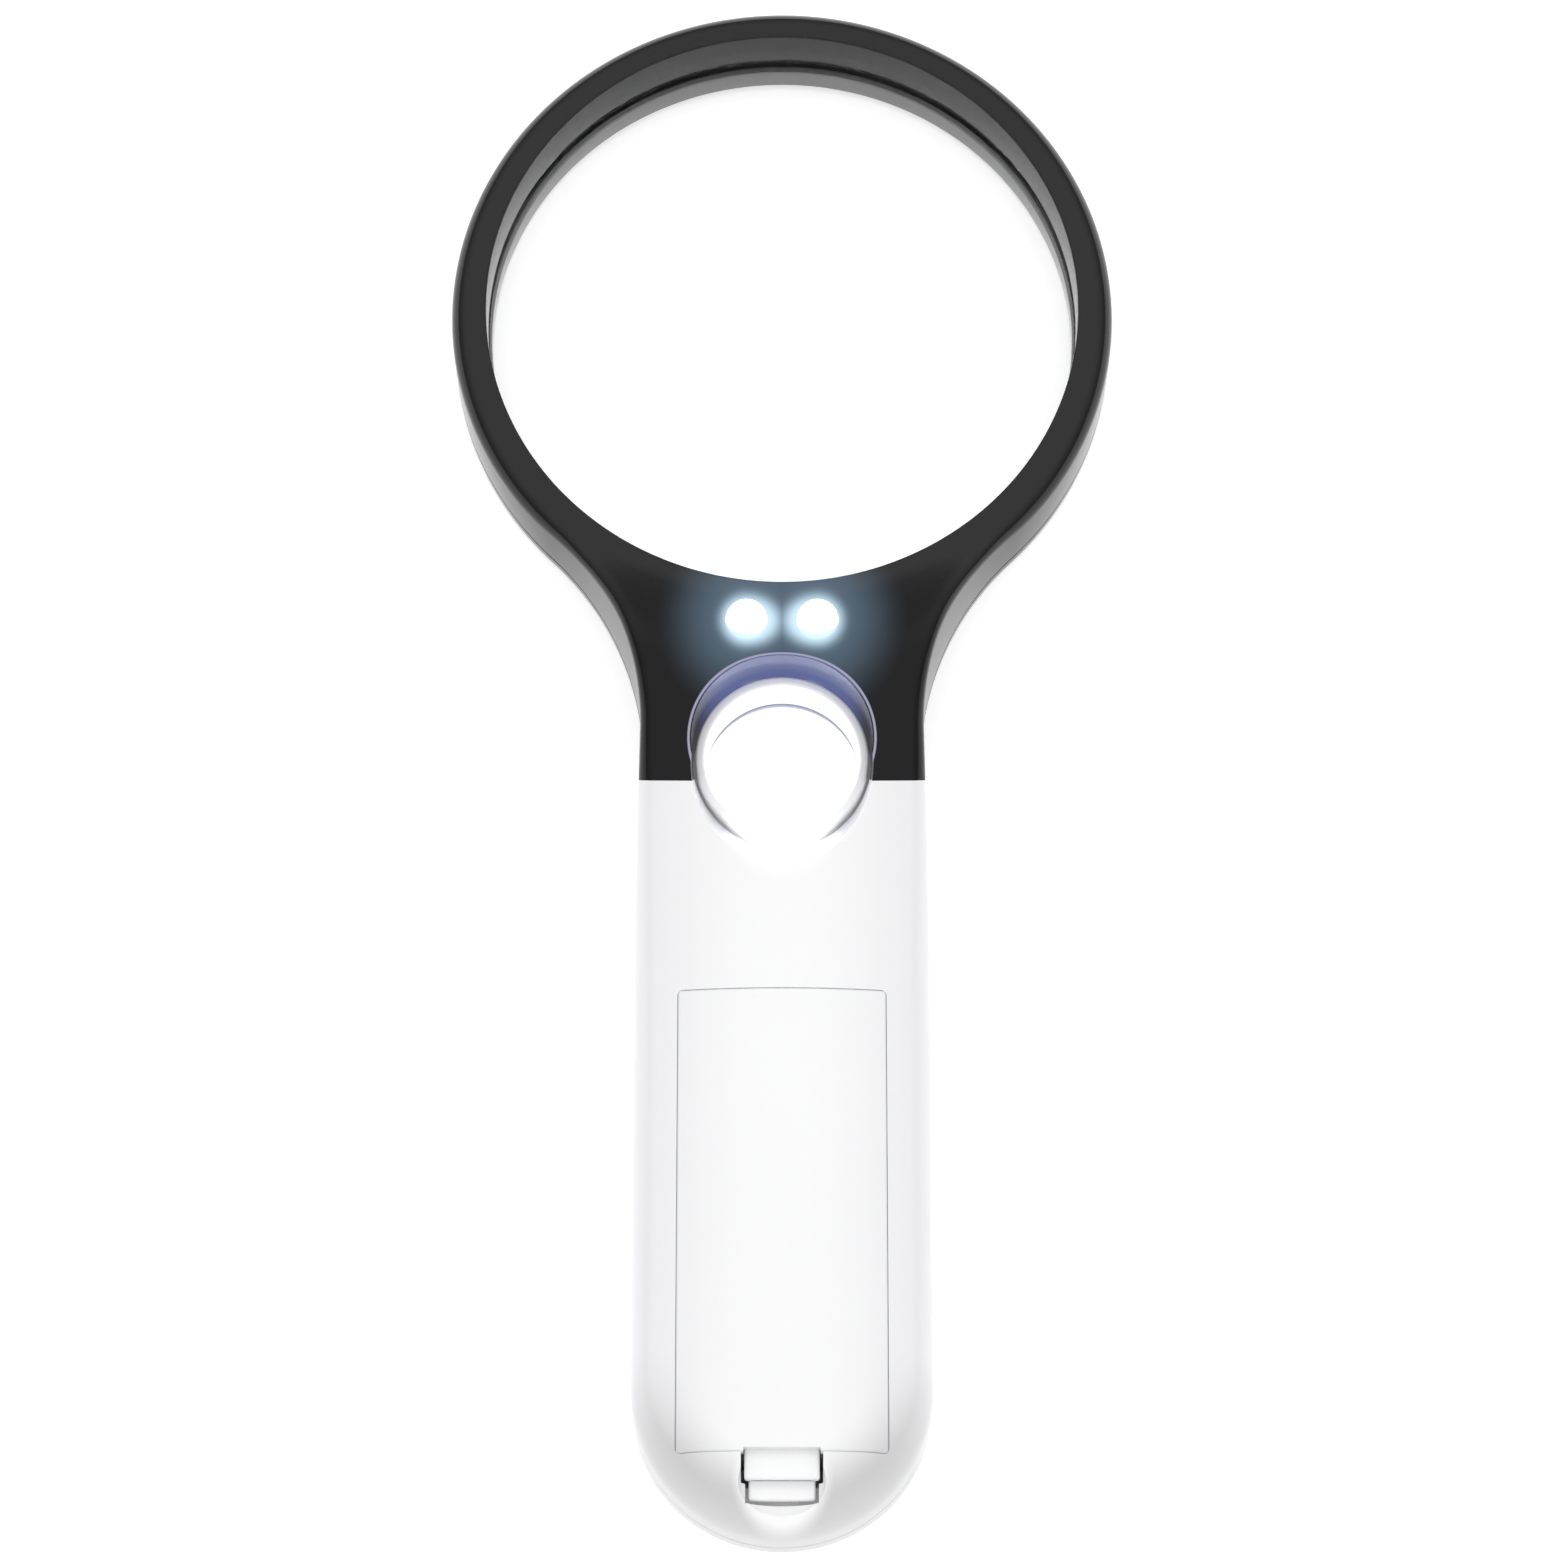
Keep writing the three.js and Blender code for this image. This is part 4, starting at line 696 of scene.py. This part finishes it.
# ---------------------------------------------------------------- inside of the front shell
# Moulded with the front shell in the same white plastic: the bay's bulkheads, the lower cell's cradle and
# the screws' bosses.

BAY_TOP, BAY_END = DOOR_TOP - 3.8, DOOR_TOP - 53.8
CELL_R = 5.15
low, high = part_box("cell_lower")
LOW_Z = (low.z + high.z) * 500
HIGH_Z = (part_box("cell_left")[0].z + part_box("cell_left")[1].z) * 500
ribs = [(-9, 9, y - 0.8, y + 0.8, 1.5, LOW_Z + 0.6) for y in (BAY_TOP - 14, BAY_END + 14)]
walls = [(-12.6, 12.6, y, y + 1.8, 2, HIGH_Z + 0.8) for y in (BAY_TOP, BAY_END - 1.8)]
inside = slabs("bay_white", ribs + walls, white.material, 0.2, 2)
cut(inside, [bar("cradle", CELL_R + 0.3, -45, 1, 64, (0, BAY_TOP - 1.2, LOW_Z), math.radians(-90))])
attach(inside, "magnifier")
screw_rows = (BAY_TOP - 8, BAY_END + 8)
boss_spots = [(s * 9.3, y, 2.4, 1.6, 8.3) for s in (-1, 1) for y in screw_rows]
boss_spots += [(s * 6.9, y, 1.7, 3.4, 9.1) for s in (-1, 1) for y in (-83.9, -91.5)]
for i, (x, y, radius, foot, top) in enumerate(boss_spots):
    profile = [(0, foot), (radius, foot), *arc(radius - 0.3, top - 0.3, 0.3, 0, 90, 4), (0, top)]
    boss = make(f"boss_white_{i}", *turned(profile, 40, (x, y, 0)), white.material)
    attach(boss, "magnifier")


# ---------------------------------------------------------------- door hooks
# Two hooks at the door's upper edge and a stiffening rib under its middle, moulded in one with the door.

hook_y, hook_z = DOOR_TOP - 1.7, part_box("battery_door")[0].z * 1000
hook_boxes = [(-0.8, 0.8, DOOR_END + 8, DOOR_TOP - 8, 22.8, 23.9)]
for side in (-1, 1):
    x0, x1 = sorted((side * 6.2, side * 10.2))
    hook_boxes.append((x0, x1, hook_y - 0.7, hook_y, hook_z, 22.4))
    hook_boxes.append((x0, x1, hook_y - 0.5, DOOR_TOP - 0.1, hook_z, hook_z + 0.7))
hooks = slabs("door_hooks_white", hook_boxes, white.material, 0.15, 2)
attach(hooks, "door")


# ---------------------------------------------------------------- cells
# Three AAA cells: steel cans with a plain film sleeve and a bare button and foot. Two lie under the door and
# one lies below them.

film = Finish("printed film", Roughness=0.3, Coat_Weight=0.4)
scuffs = film.noise(3, 4).ramp(0.35, 0.8)
film.colours(scuffs, (0.015, 0.09, 0.055), (0.03, 0.14, 0.085))
film.drive("Roughness", scuffs * 0.15 + 0.22)
can = Finish("plated can", Metallic=1.0, Base_Color=(0.72, 0.72, 0.70, 1))
can.drive("Roughness", can.noise(1.2, 3) * 0.25 + 0.18)
for name in ("cell_left", "cell_right", "cell_lower"):
    low, high = (np.array(corner) * 1000 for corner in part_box(name))
    turn_up = name != "cell_right"
    foot = ((low[0] + high[0]) / 2, (low if turn_up else high)[1] - LENS_Y, (low[2] + high[2]) / 2)
    profile = [
        (0, 0.15), (3.6, 0.15), (3.7, 0), (4.4, 0), (4.6, 0.15), *arc(4.75, 0.6, 0.4, -90, 0, 4),
        *arc(4.75, 43.0, 0.4, 0, 90, 4), (4.4, 43.25), (4.2, 43.1), (2.2, 43.1), (1.9, 43.3),
        *arc(1.6, 44.2, 0.3, 0, 90, 3), (0, 44.5),
    ]
    lean = math.radians(-90 if turn_up else 90)
    cell = make(name + "_film", *turned(profile, 72, foot, lean), film.material)
    cell.data.materials.append(can.material)
    centre = np.array([foot[0], 0, foot[2]]) / 1000
    for face in cell.data.polygons:
        reach = math.hypot(face.center.x - centre[0], face.center.z - centre[2])
        face.material_index = int(reach < 0.0043)
    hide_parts(name)
    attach(cell, "magnifier")


# ---------------------------------------------------------------- springs
# A conical spring of nickelled wire behind each cell's flat end, wound from the plate up to the can.

nickel = Finish("nickelled steel", Metallic=1.0, Base_Color=(0.74, 0.73, 0.70, 1))
nickel.drive("Roughness", nickel.noise(0.6, 3) * 0.2 + 0.2)
coil = bpy.data.node_groups.new("coil", "GeometryNodeTree")
coil.interface.new_socket("Geometry", in_out="OUTPUT", socket_type="NodeSocketGeometry")
for name, value in (("Turns", 3.0), ("Foot", 3.3), ("Tip", 1.8), ("Length", 3.5), ("Wire", 0.32)):
    coil.interface.new_socket(name, in_out="INPUT", socket_type="NodeSocketFloat").default_value = value
given = coil.nodes.new("NodeGroupInput")
spiral = coil.nodes.new("GeometryNodeCurveSpiral")
spiral.inputs["Resolution"].default_value = 40
round_wire = coil.nodes.new("GeometryNodeCurvePrimitiveCircle")
round_wire.inputs["Resolution"].default_value = 14
sweep = coil.nodes.new("GeometryNodeCurveToMesh")
sweep.inputs["Fill Caps"].default_value = True
finish = coil.nodes.new("GeometryNodeSetMaterial")
finish.inputs["Material"].default_value = nickel.material
realize = coil.nodes.new("GeometryNodeRealizeInstances")
out = coil.nodes.new("NodeGroupOutput")
for source, target in (
    ("Turns", "Rotations"), ("Foot", "Start Radius"), ("Tip", "End Radius"), ("Length", "Height"),
):
    coil.links.new(given.outputs[source], spiral.inputs[target])
coil.links.new(given.outputs["Wire"], round_wire.inputs["Radius"])
coil.links.new(spiral.outputs[0], sweep.inputs["Curve"])
coil.links.new(round_wire.outputs[0], sweep.inputs["Profile Curve"])
coil.links.new(sweep.outputs[0], realize.inputs[0])
coil.links.new(realize.outputs[0], finish.inputs[0])
coil.links.new(finish.outputs[0], out.inputs[0])
for name in ("spring_left", "spring_right", "spring_lower"):
    low, high = (np.array(corner) * 1000 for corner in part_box(name))
    turn_up = name != "spring_right"
    spring = make(name + "_coil", [(0, 0, 0)], [], None)
    winding = spring.modifiers.new("coil", "NODES")
    winding.node_group = coil
    winding["Socket_4"] = float(high[1] - low[1] - 0.64)
    bpy.context.view_layer.update()
    baked = bpy.data.meshes.new_from_object(spring.evaluated_get(bpy.context.evaluated_depsgraph_get()))
    spring.modifiers.clear()
    spring.data = baked
    cell_low, cell_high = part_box(name.replace("spring", "cell"))
    base = (low[1] + 0.32 if turn_up else high[1] - 0.32)
    move = Matrix.Translation(((cell_low.x + cell_high.x) / 2, base / 1000, (cell_low.z + cell_high.z) / 2))
    lean = Matrix.Rotation(math.radians(-90 if turn_up else 90), 4, "X")
    baked.transform(move @ lean @ Matrix.Scale(0.001, 4))
    baked.shade_smooth()
    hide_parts(name)
    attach(spring, "magnifier")


# ---------------------------------------------------------------- contacts and screws
# Pressed plates of nickelled spring steel on the bulkheads, and four small cross-head screws in the bay.

def finished(node, finish, radius, angle=30):
    """A CAD node carried over with softened edges and a finish."""
    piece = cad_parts[node]
    piece.data.materials.clear()
    piece.data.materials.append(finish.material)
    welded = piece.modifiers.new("weld", "WELD")
    welded.merge_threshold = 1e-6
    if radius:
        rounded = piece.modifiers.new("edges", "BEVEL")
        rounded.width, rounded.segments, rounded.limit_method = radius / 1000, 2, "ANGLE"
        rounded.angle_limit = math.radians(angle)
        rounded.harden_normals = True
    piece.data.shade_smooth()


for node in ("contact_positive", "contact_bridge_upper", "contact_bridge_lower", "contact_negative"):
    finished(node, nickel, 0.1)
zinc = Finish("zinc-plated steel", Metallic=1.0, Base_Color=(0.55, 0.56, 0.58, 1))
zinc.drive("Roughness", zinc.noise(0.5, 3) * 0.3 + 0.25)
for node in ("handle_screw_left_1", "handle_screw_left_2", "handle_screw_right_1", "handle_screw_right_2"):
    finished(node, zinc, 0.06, 40)


# ---------------------------------------------------------------- boards, switch and resistor
# Two brown phenolic boards, a small plated slide switch with a black lever, and a banded resistor.

phenolic = Finish("phenolic board", Roughness=0.5)
weave = phenolic.noise(0.9, 4, (1, 6, 1))
phenolic.colours(weave, (0.30, 0.17, 0.055), (0.42, 0.26, 0.09))
phenolic.bump(weave, 0.01)
finished("circuit_board", phenolic, 0.12)
finished("led_board", phenolic, 0.12)

plated = Finish("switch shell", Metallic=1.0, Base_Color=(0.66, 0.67, 0.68, 1))
plated.drive("Roughness", plated.noise(1, 3) * 0.2 + 0.22)
finished("switch_body", plated, 0.15)
lever = Finish("black lever", Base_Color=(0.015, 0.015, 0.015, 1))
lever.drive("Roughness", lever.noise(0.8, 2) * 0.2 + 0.4)
finished("switch_lever", lever, 0.12)

coating = Finish("resistor coating", Roughness=0.45)
low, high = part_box("resistor")
along = (coating.axis("Y") - (low.y * 1000 - LENS_Y)) * (1 / ((high.y - low.y) * 1000))
bands = None
for spot in (0.14, 0.36, 0.5, 0.84):
    band = (abs(along - spot) * -1 + 0.045).ramp(0, 0.01)
    bands = band if bands is None else bands + band
coating.colours(bands.ramp(0, 1), (0.60, 0.47, 0.28), (0.22, 0.04, 0.02))
finished("resistor", coating, 0.1, 60)


# ---------------------------------------------------------------- wires
# Thin stranded wires in soft red and black insulation, laid from the boards past the loupe and along the bay.

for node, dark, light in (
    ("wire_led_red", (0.42, 0.012, 0.008), (0.55, 0.02, 0.012)),
    ("wire_battery_red", (0.42, 0.012, 0.008), (0.55, 0.02, 0.012)),
    ("wire_led_black", (0.010, 0.010, 0.011), (0.022, 0.022, 0.024)),
    ("wire_battery_black", (0.010, 0.010, 0.011), (0.022, 0.022, 0.024)),
):
    jacket = Finish("jacket " + node, Roughness=0.4)
    rub = jacket.noise(1.5, 3)
    jacket.colours(rub, dark, light)
    jacket.drive("Roughness", rub * 0.2 + 0.32)
    finished(node, jacket, 0)
    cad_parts[node].data.set_sharp_from_angle(angle=math.radians(60))


# ---------------------------------------------------------------- switch knob
# The black slide knob on the front: a matt pad with a row of grip ribs, and a stem with a keeper inside.

knob_black = Finish("matt black plastic")
grain = knob_black.noise(0.35, 3)
knob_black.colours(grain, (0.014, 0.014, 0.015), (0.026, 0.026, 0.028))
knob_black.drive("Roughness", grain * 0.2 + 0.42)
knob_black.bump(grain, 0.015, 0.5)
low, high = (np.array(corner) * 1000 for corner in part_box("switch_knob"))
knob_y = (low[1] + high[1]) / 2 - LENS_Y
knob = slabs(
    "knob_black",
    [
        (low[0], high[0], knob_y - 3.3, knob_y + 3.3, low[2] + 0.5, 1.6),
        (-1.9, 1.9, knob_y - 1.9, knob_y + 1.9, 1.2, high[2] - 0.6),
        (-3.1, 3.1, knob_y - 2.8, knob_y + 2.8, high[2] - 1.2, high[2]),
    ],
    knob_black.material, 0.3,
)
rib = slabs("rib", [(-5.7, 5.7, -0.4, 0.4, low[2], low[2] + 0.8)], knob_black.material, 0.18, 3)
rib.hide_render = True
row = bpy.data.node_groups.new("row", "GeometryNodeTree")
row.interface.new_socket("Geometry", in_out="OUTPUT", socket_type="NodeSocketGeometry")
row.interface.new_socket("Count", in_out="INPUT", socket_type="NodeSocketInt").default_value = 4
step = row.interface.new_socket("Step", in_out="INPUT", socket_type="NodeSocketVector")
step.default_value = (0, 0.00167, 0)
row.interface.new_socket("Start", in_out="INPUT", socket_type="NodeSocketVector")
given = row.nodes.new("NodeGroupInput")
line = row.nodes.new("GeometryNodeMeshLine")
copies = row.nodes.new("GeometryNodeInstanceOnPoints")
shape = row.nodes.new("GeometryNodeObjectInfo")
shape.inputs["Object"].default_value = rib
realize = row.nodes.new("GeometryNodeRealizeInstances")
finish = row.nodes.new("GeometryNodeSetMaterial")
finish.inputs["Material"].default_value = knob_black.material
out = row.nodes.new("NodeGroupOutput")
row.links.new(given.outputs["Count"], line.inputs["Count"])
row.links.new(given.outputs["Step"], line.inputs["Offset"])
row.links.new(given.outputs["Start"], line.inputs["Start Location"])
row.links.new(line.outputs[0], copies.inputs["Points"])
row.links.new(shape.outputs["Geometry"], copies.inputs["Instance"])
row.links.new(copies.outputs[0], realize.inputs[0])
row.links.new(realize.outputs[0], finish.inputs[0])
row.links.new(finish.outputs[0], out.inputs[0])
ribs = make("knob_ribs_black", [(0, 0, 0)], [], None)
laid = ribs.modifiers.new("row", "NODES")
laid.node_group = row
laid["Socket_3"] = (0.0, (knob_y - 2.5) / 1000, 0.0)
bpy.context.view_layer.update()
baked = bpy.data.meshes.new_from_object(ribs.evaluated_get(bpy.context.evaluated_depsgraph_get()))
ribs.modifiers.clear()
ribs.data = baked
bpy.data.objects.remove(rib)
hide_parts("switch_knob")
for piece in (knob, ribs):
    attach(piece, "switch")


# ---------------------------------------------------------------- studio
# A pale floor under the rim, a soft bright sky and the camera above the handle's end.

paper = Finish("pale floor", Roughness=0.9)
paper.colours(paper.noise(400, 2), (0.93, 0.93, 0.93), (0.95, 0.95, 0.95))
paper.shader.inputs["Emission Color"].default_value = (1, 1, 1, 1)
paper.shader.inputs["Emission Strength"].default_value = 0.4
floor = make("floor", *block(-4000, 4000, -4000, 4000, -20, 0), paper.material)

world = bpy.data.worlds.new("soft sky")
bpy.context.scene.world = world
world.use_nodes = True
sky = world.node_tree
height = sky.nodes.new("ShaderNodeSeparateXYZ")
sky.links.new(sky.nodes.new("ShaderNodeTexCoord").outputs["Generated"], height.inputs[0])
level = sky.nodes.new("ShaderNodeMapRange")
level.inputs["From Min"].default_value = 0.0
level.interpolation_type = "SMOOTHSTEP"
level.inputs["From Max"].default_value = 0.75
level.inputs["To Min"].default_value = 0.3
level.inputs["To Max"].default_value = 1.2
sky.links.new(height.outputs["Z"], level.inputs["Value"])
sky.nodes["Background"].inputs["Color"].default_value = (1, 1, 1, 1)
sky.links.new(level.outputs["Result"], sky.nodes["Background"].inputs["Strength"])

scene = bpy.context.scene
scene.view_settings.view_transform = "Standard"
scene.view_settings.exposure = 0.12
camera = bpy.data.objects.new("camera", bpy.data.cameras.new("camera"))
scene.collection.objects.link(camera)
camera.data.lens = 127.2
camera.data.sensor_width = 36
camera.location = (0, (LENS_Y - 282.9) / 1000, 0.6571)
camera.rotation_euler = (math.radians(18.8), 0, 0)
camera.data.clip_end = 20
scene.camera = camera
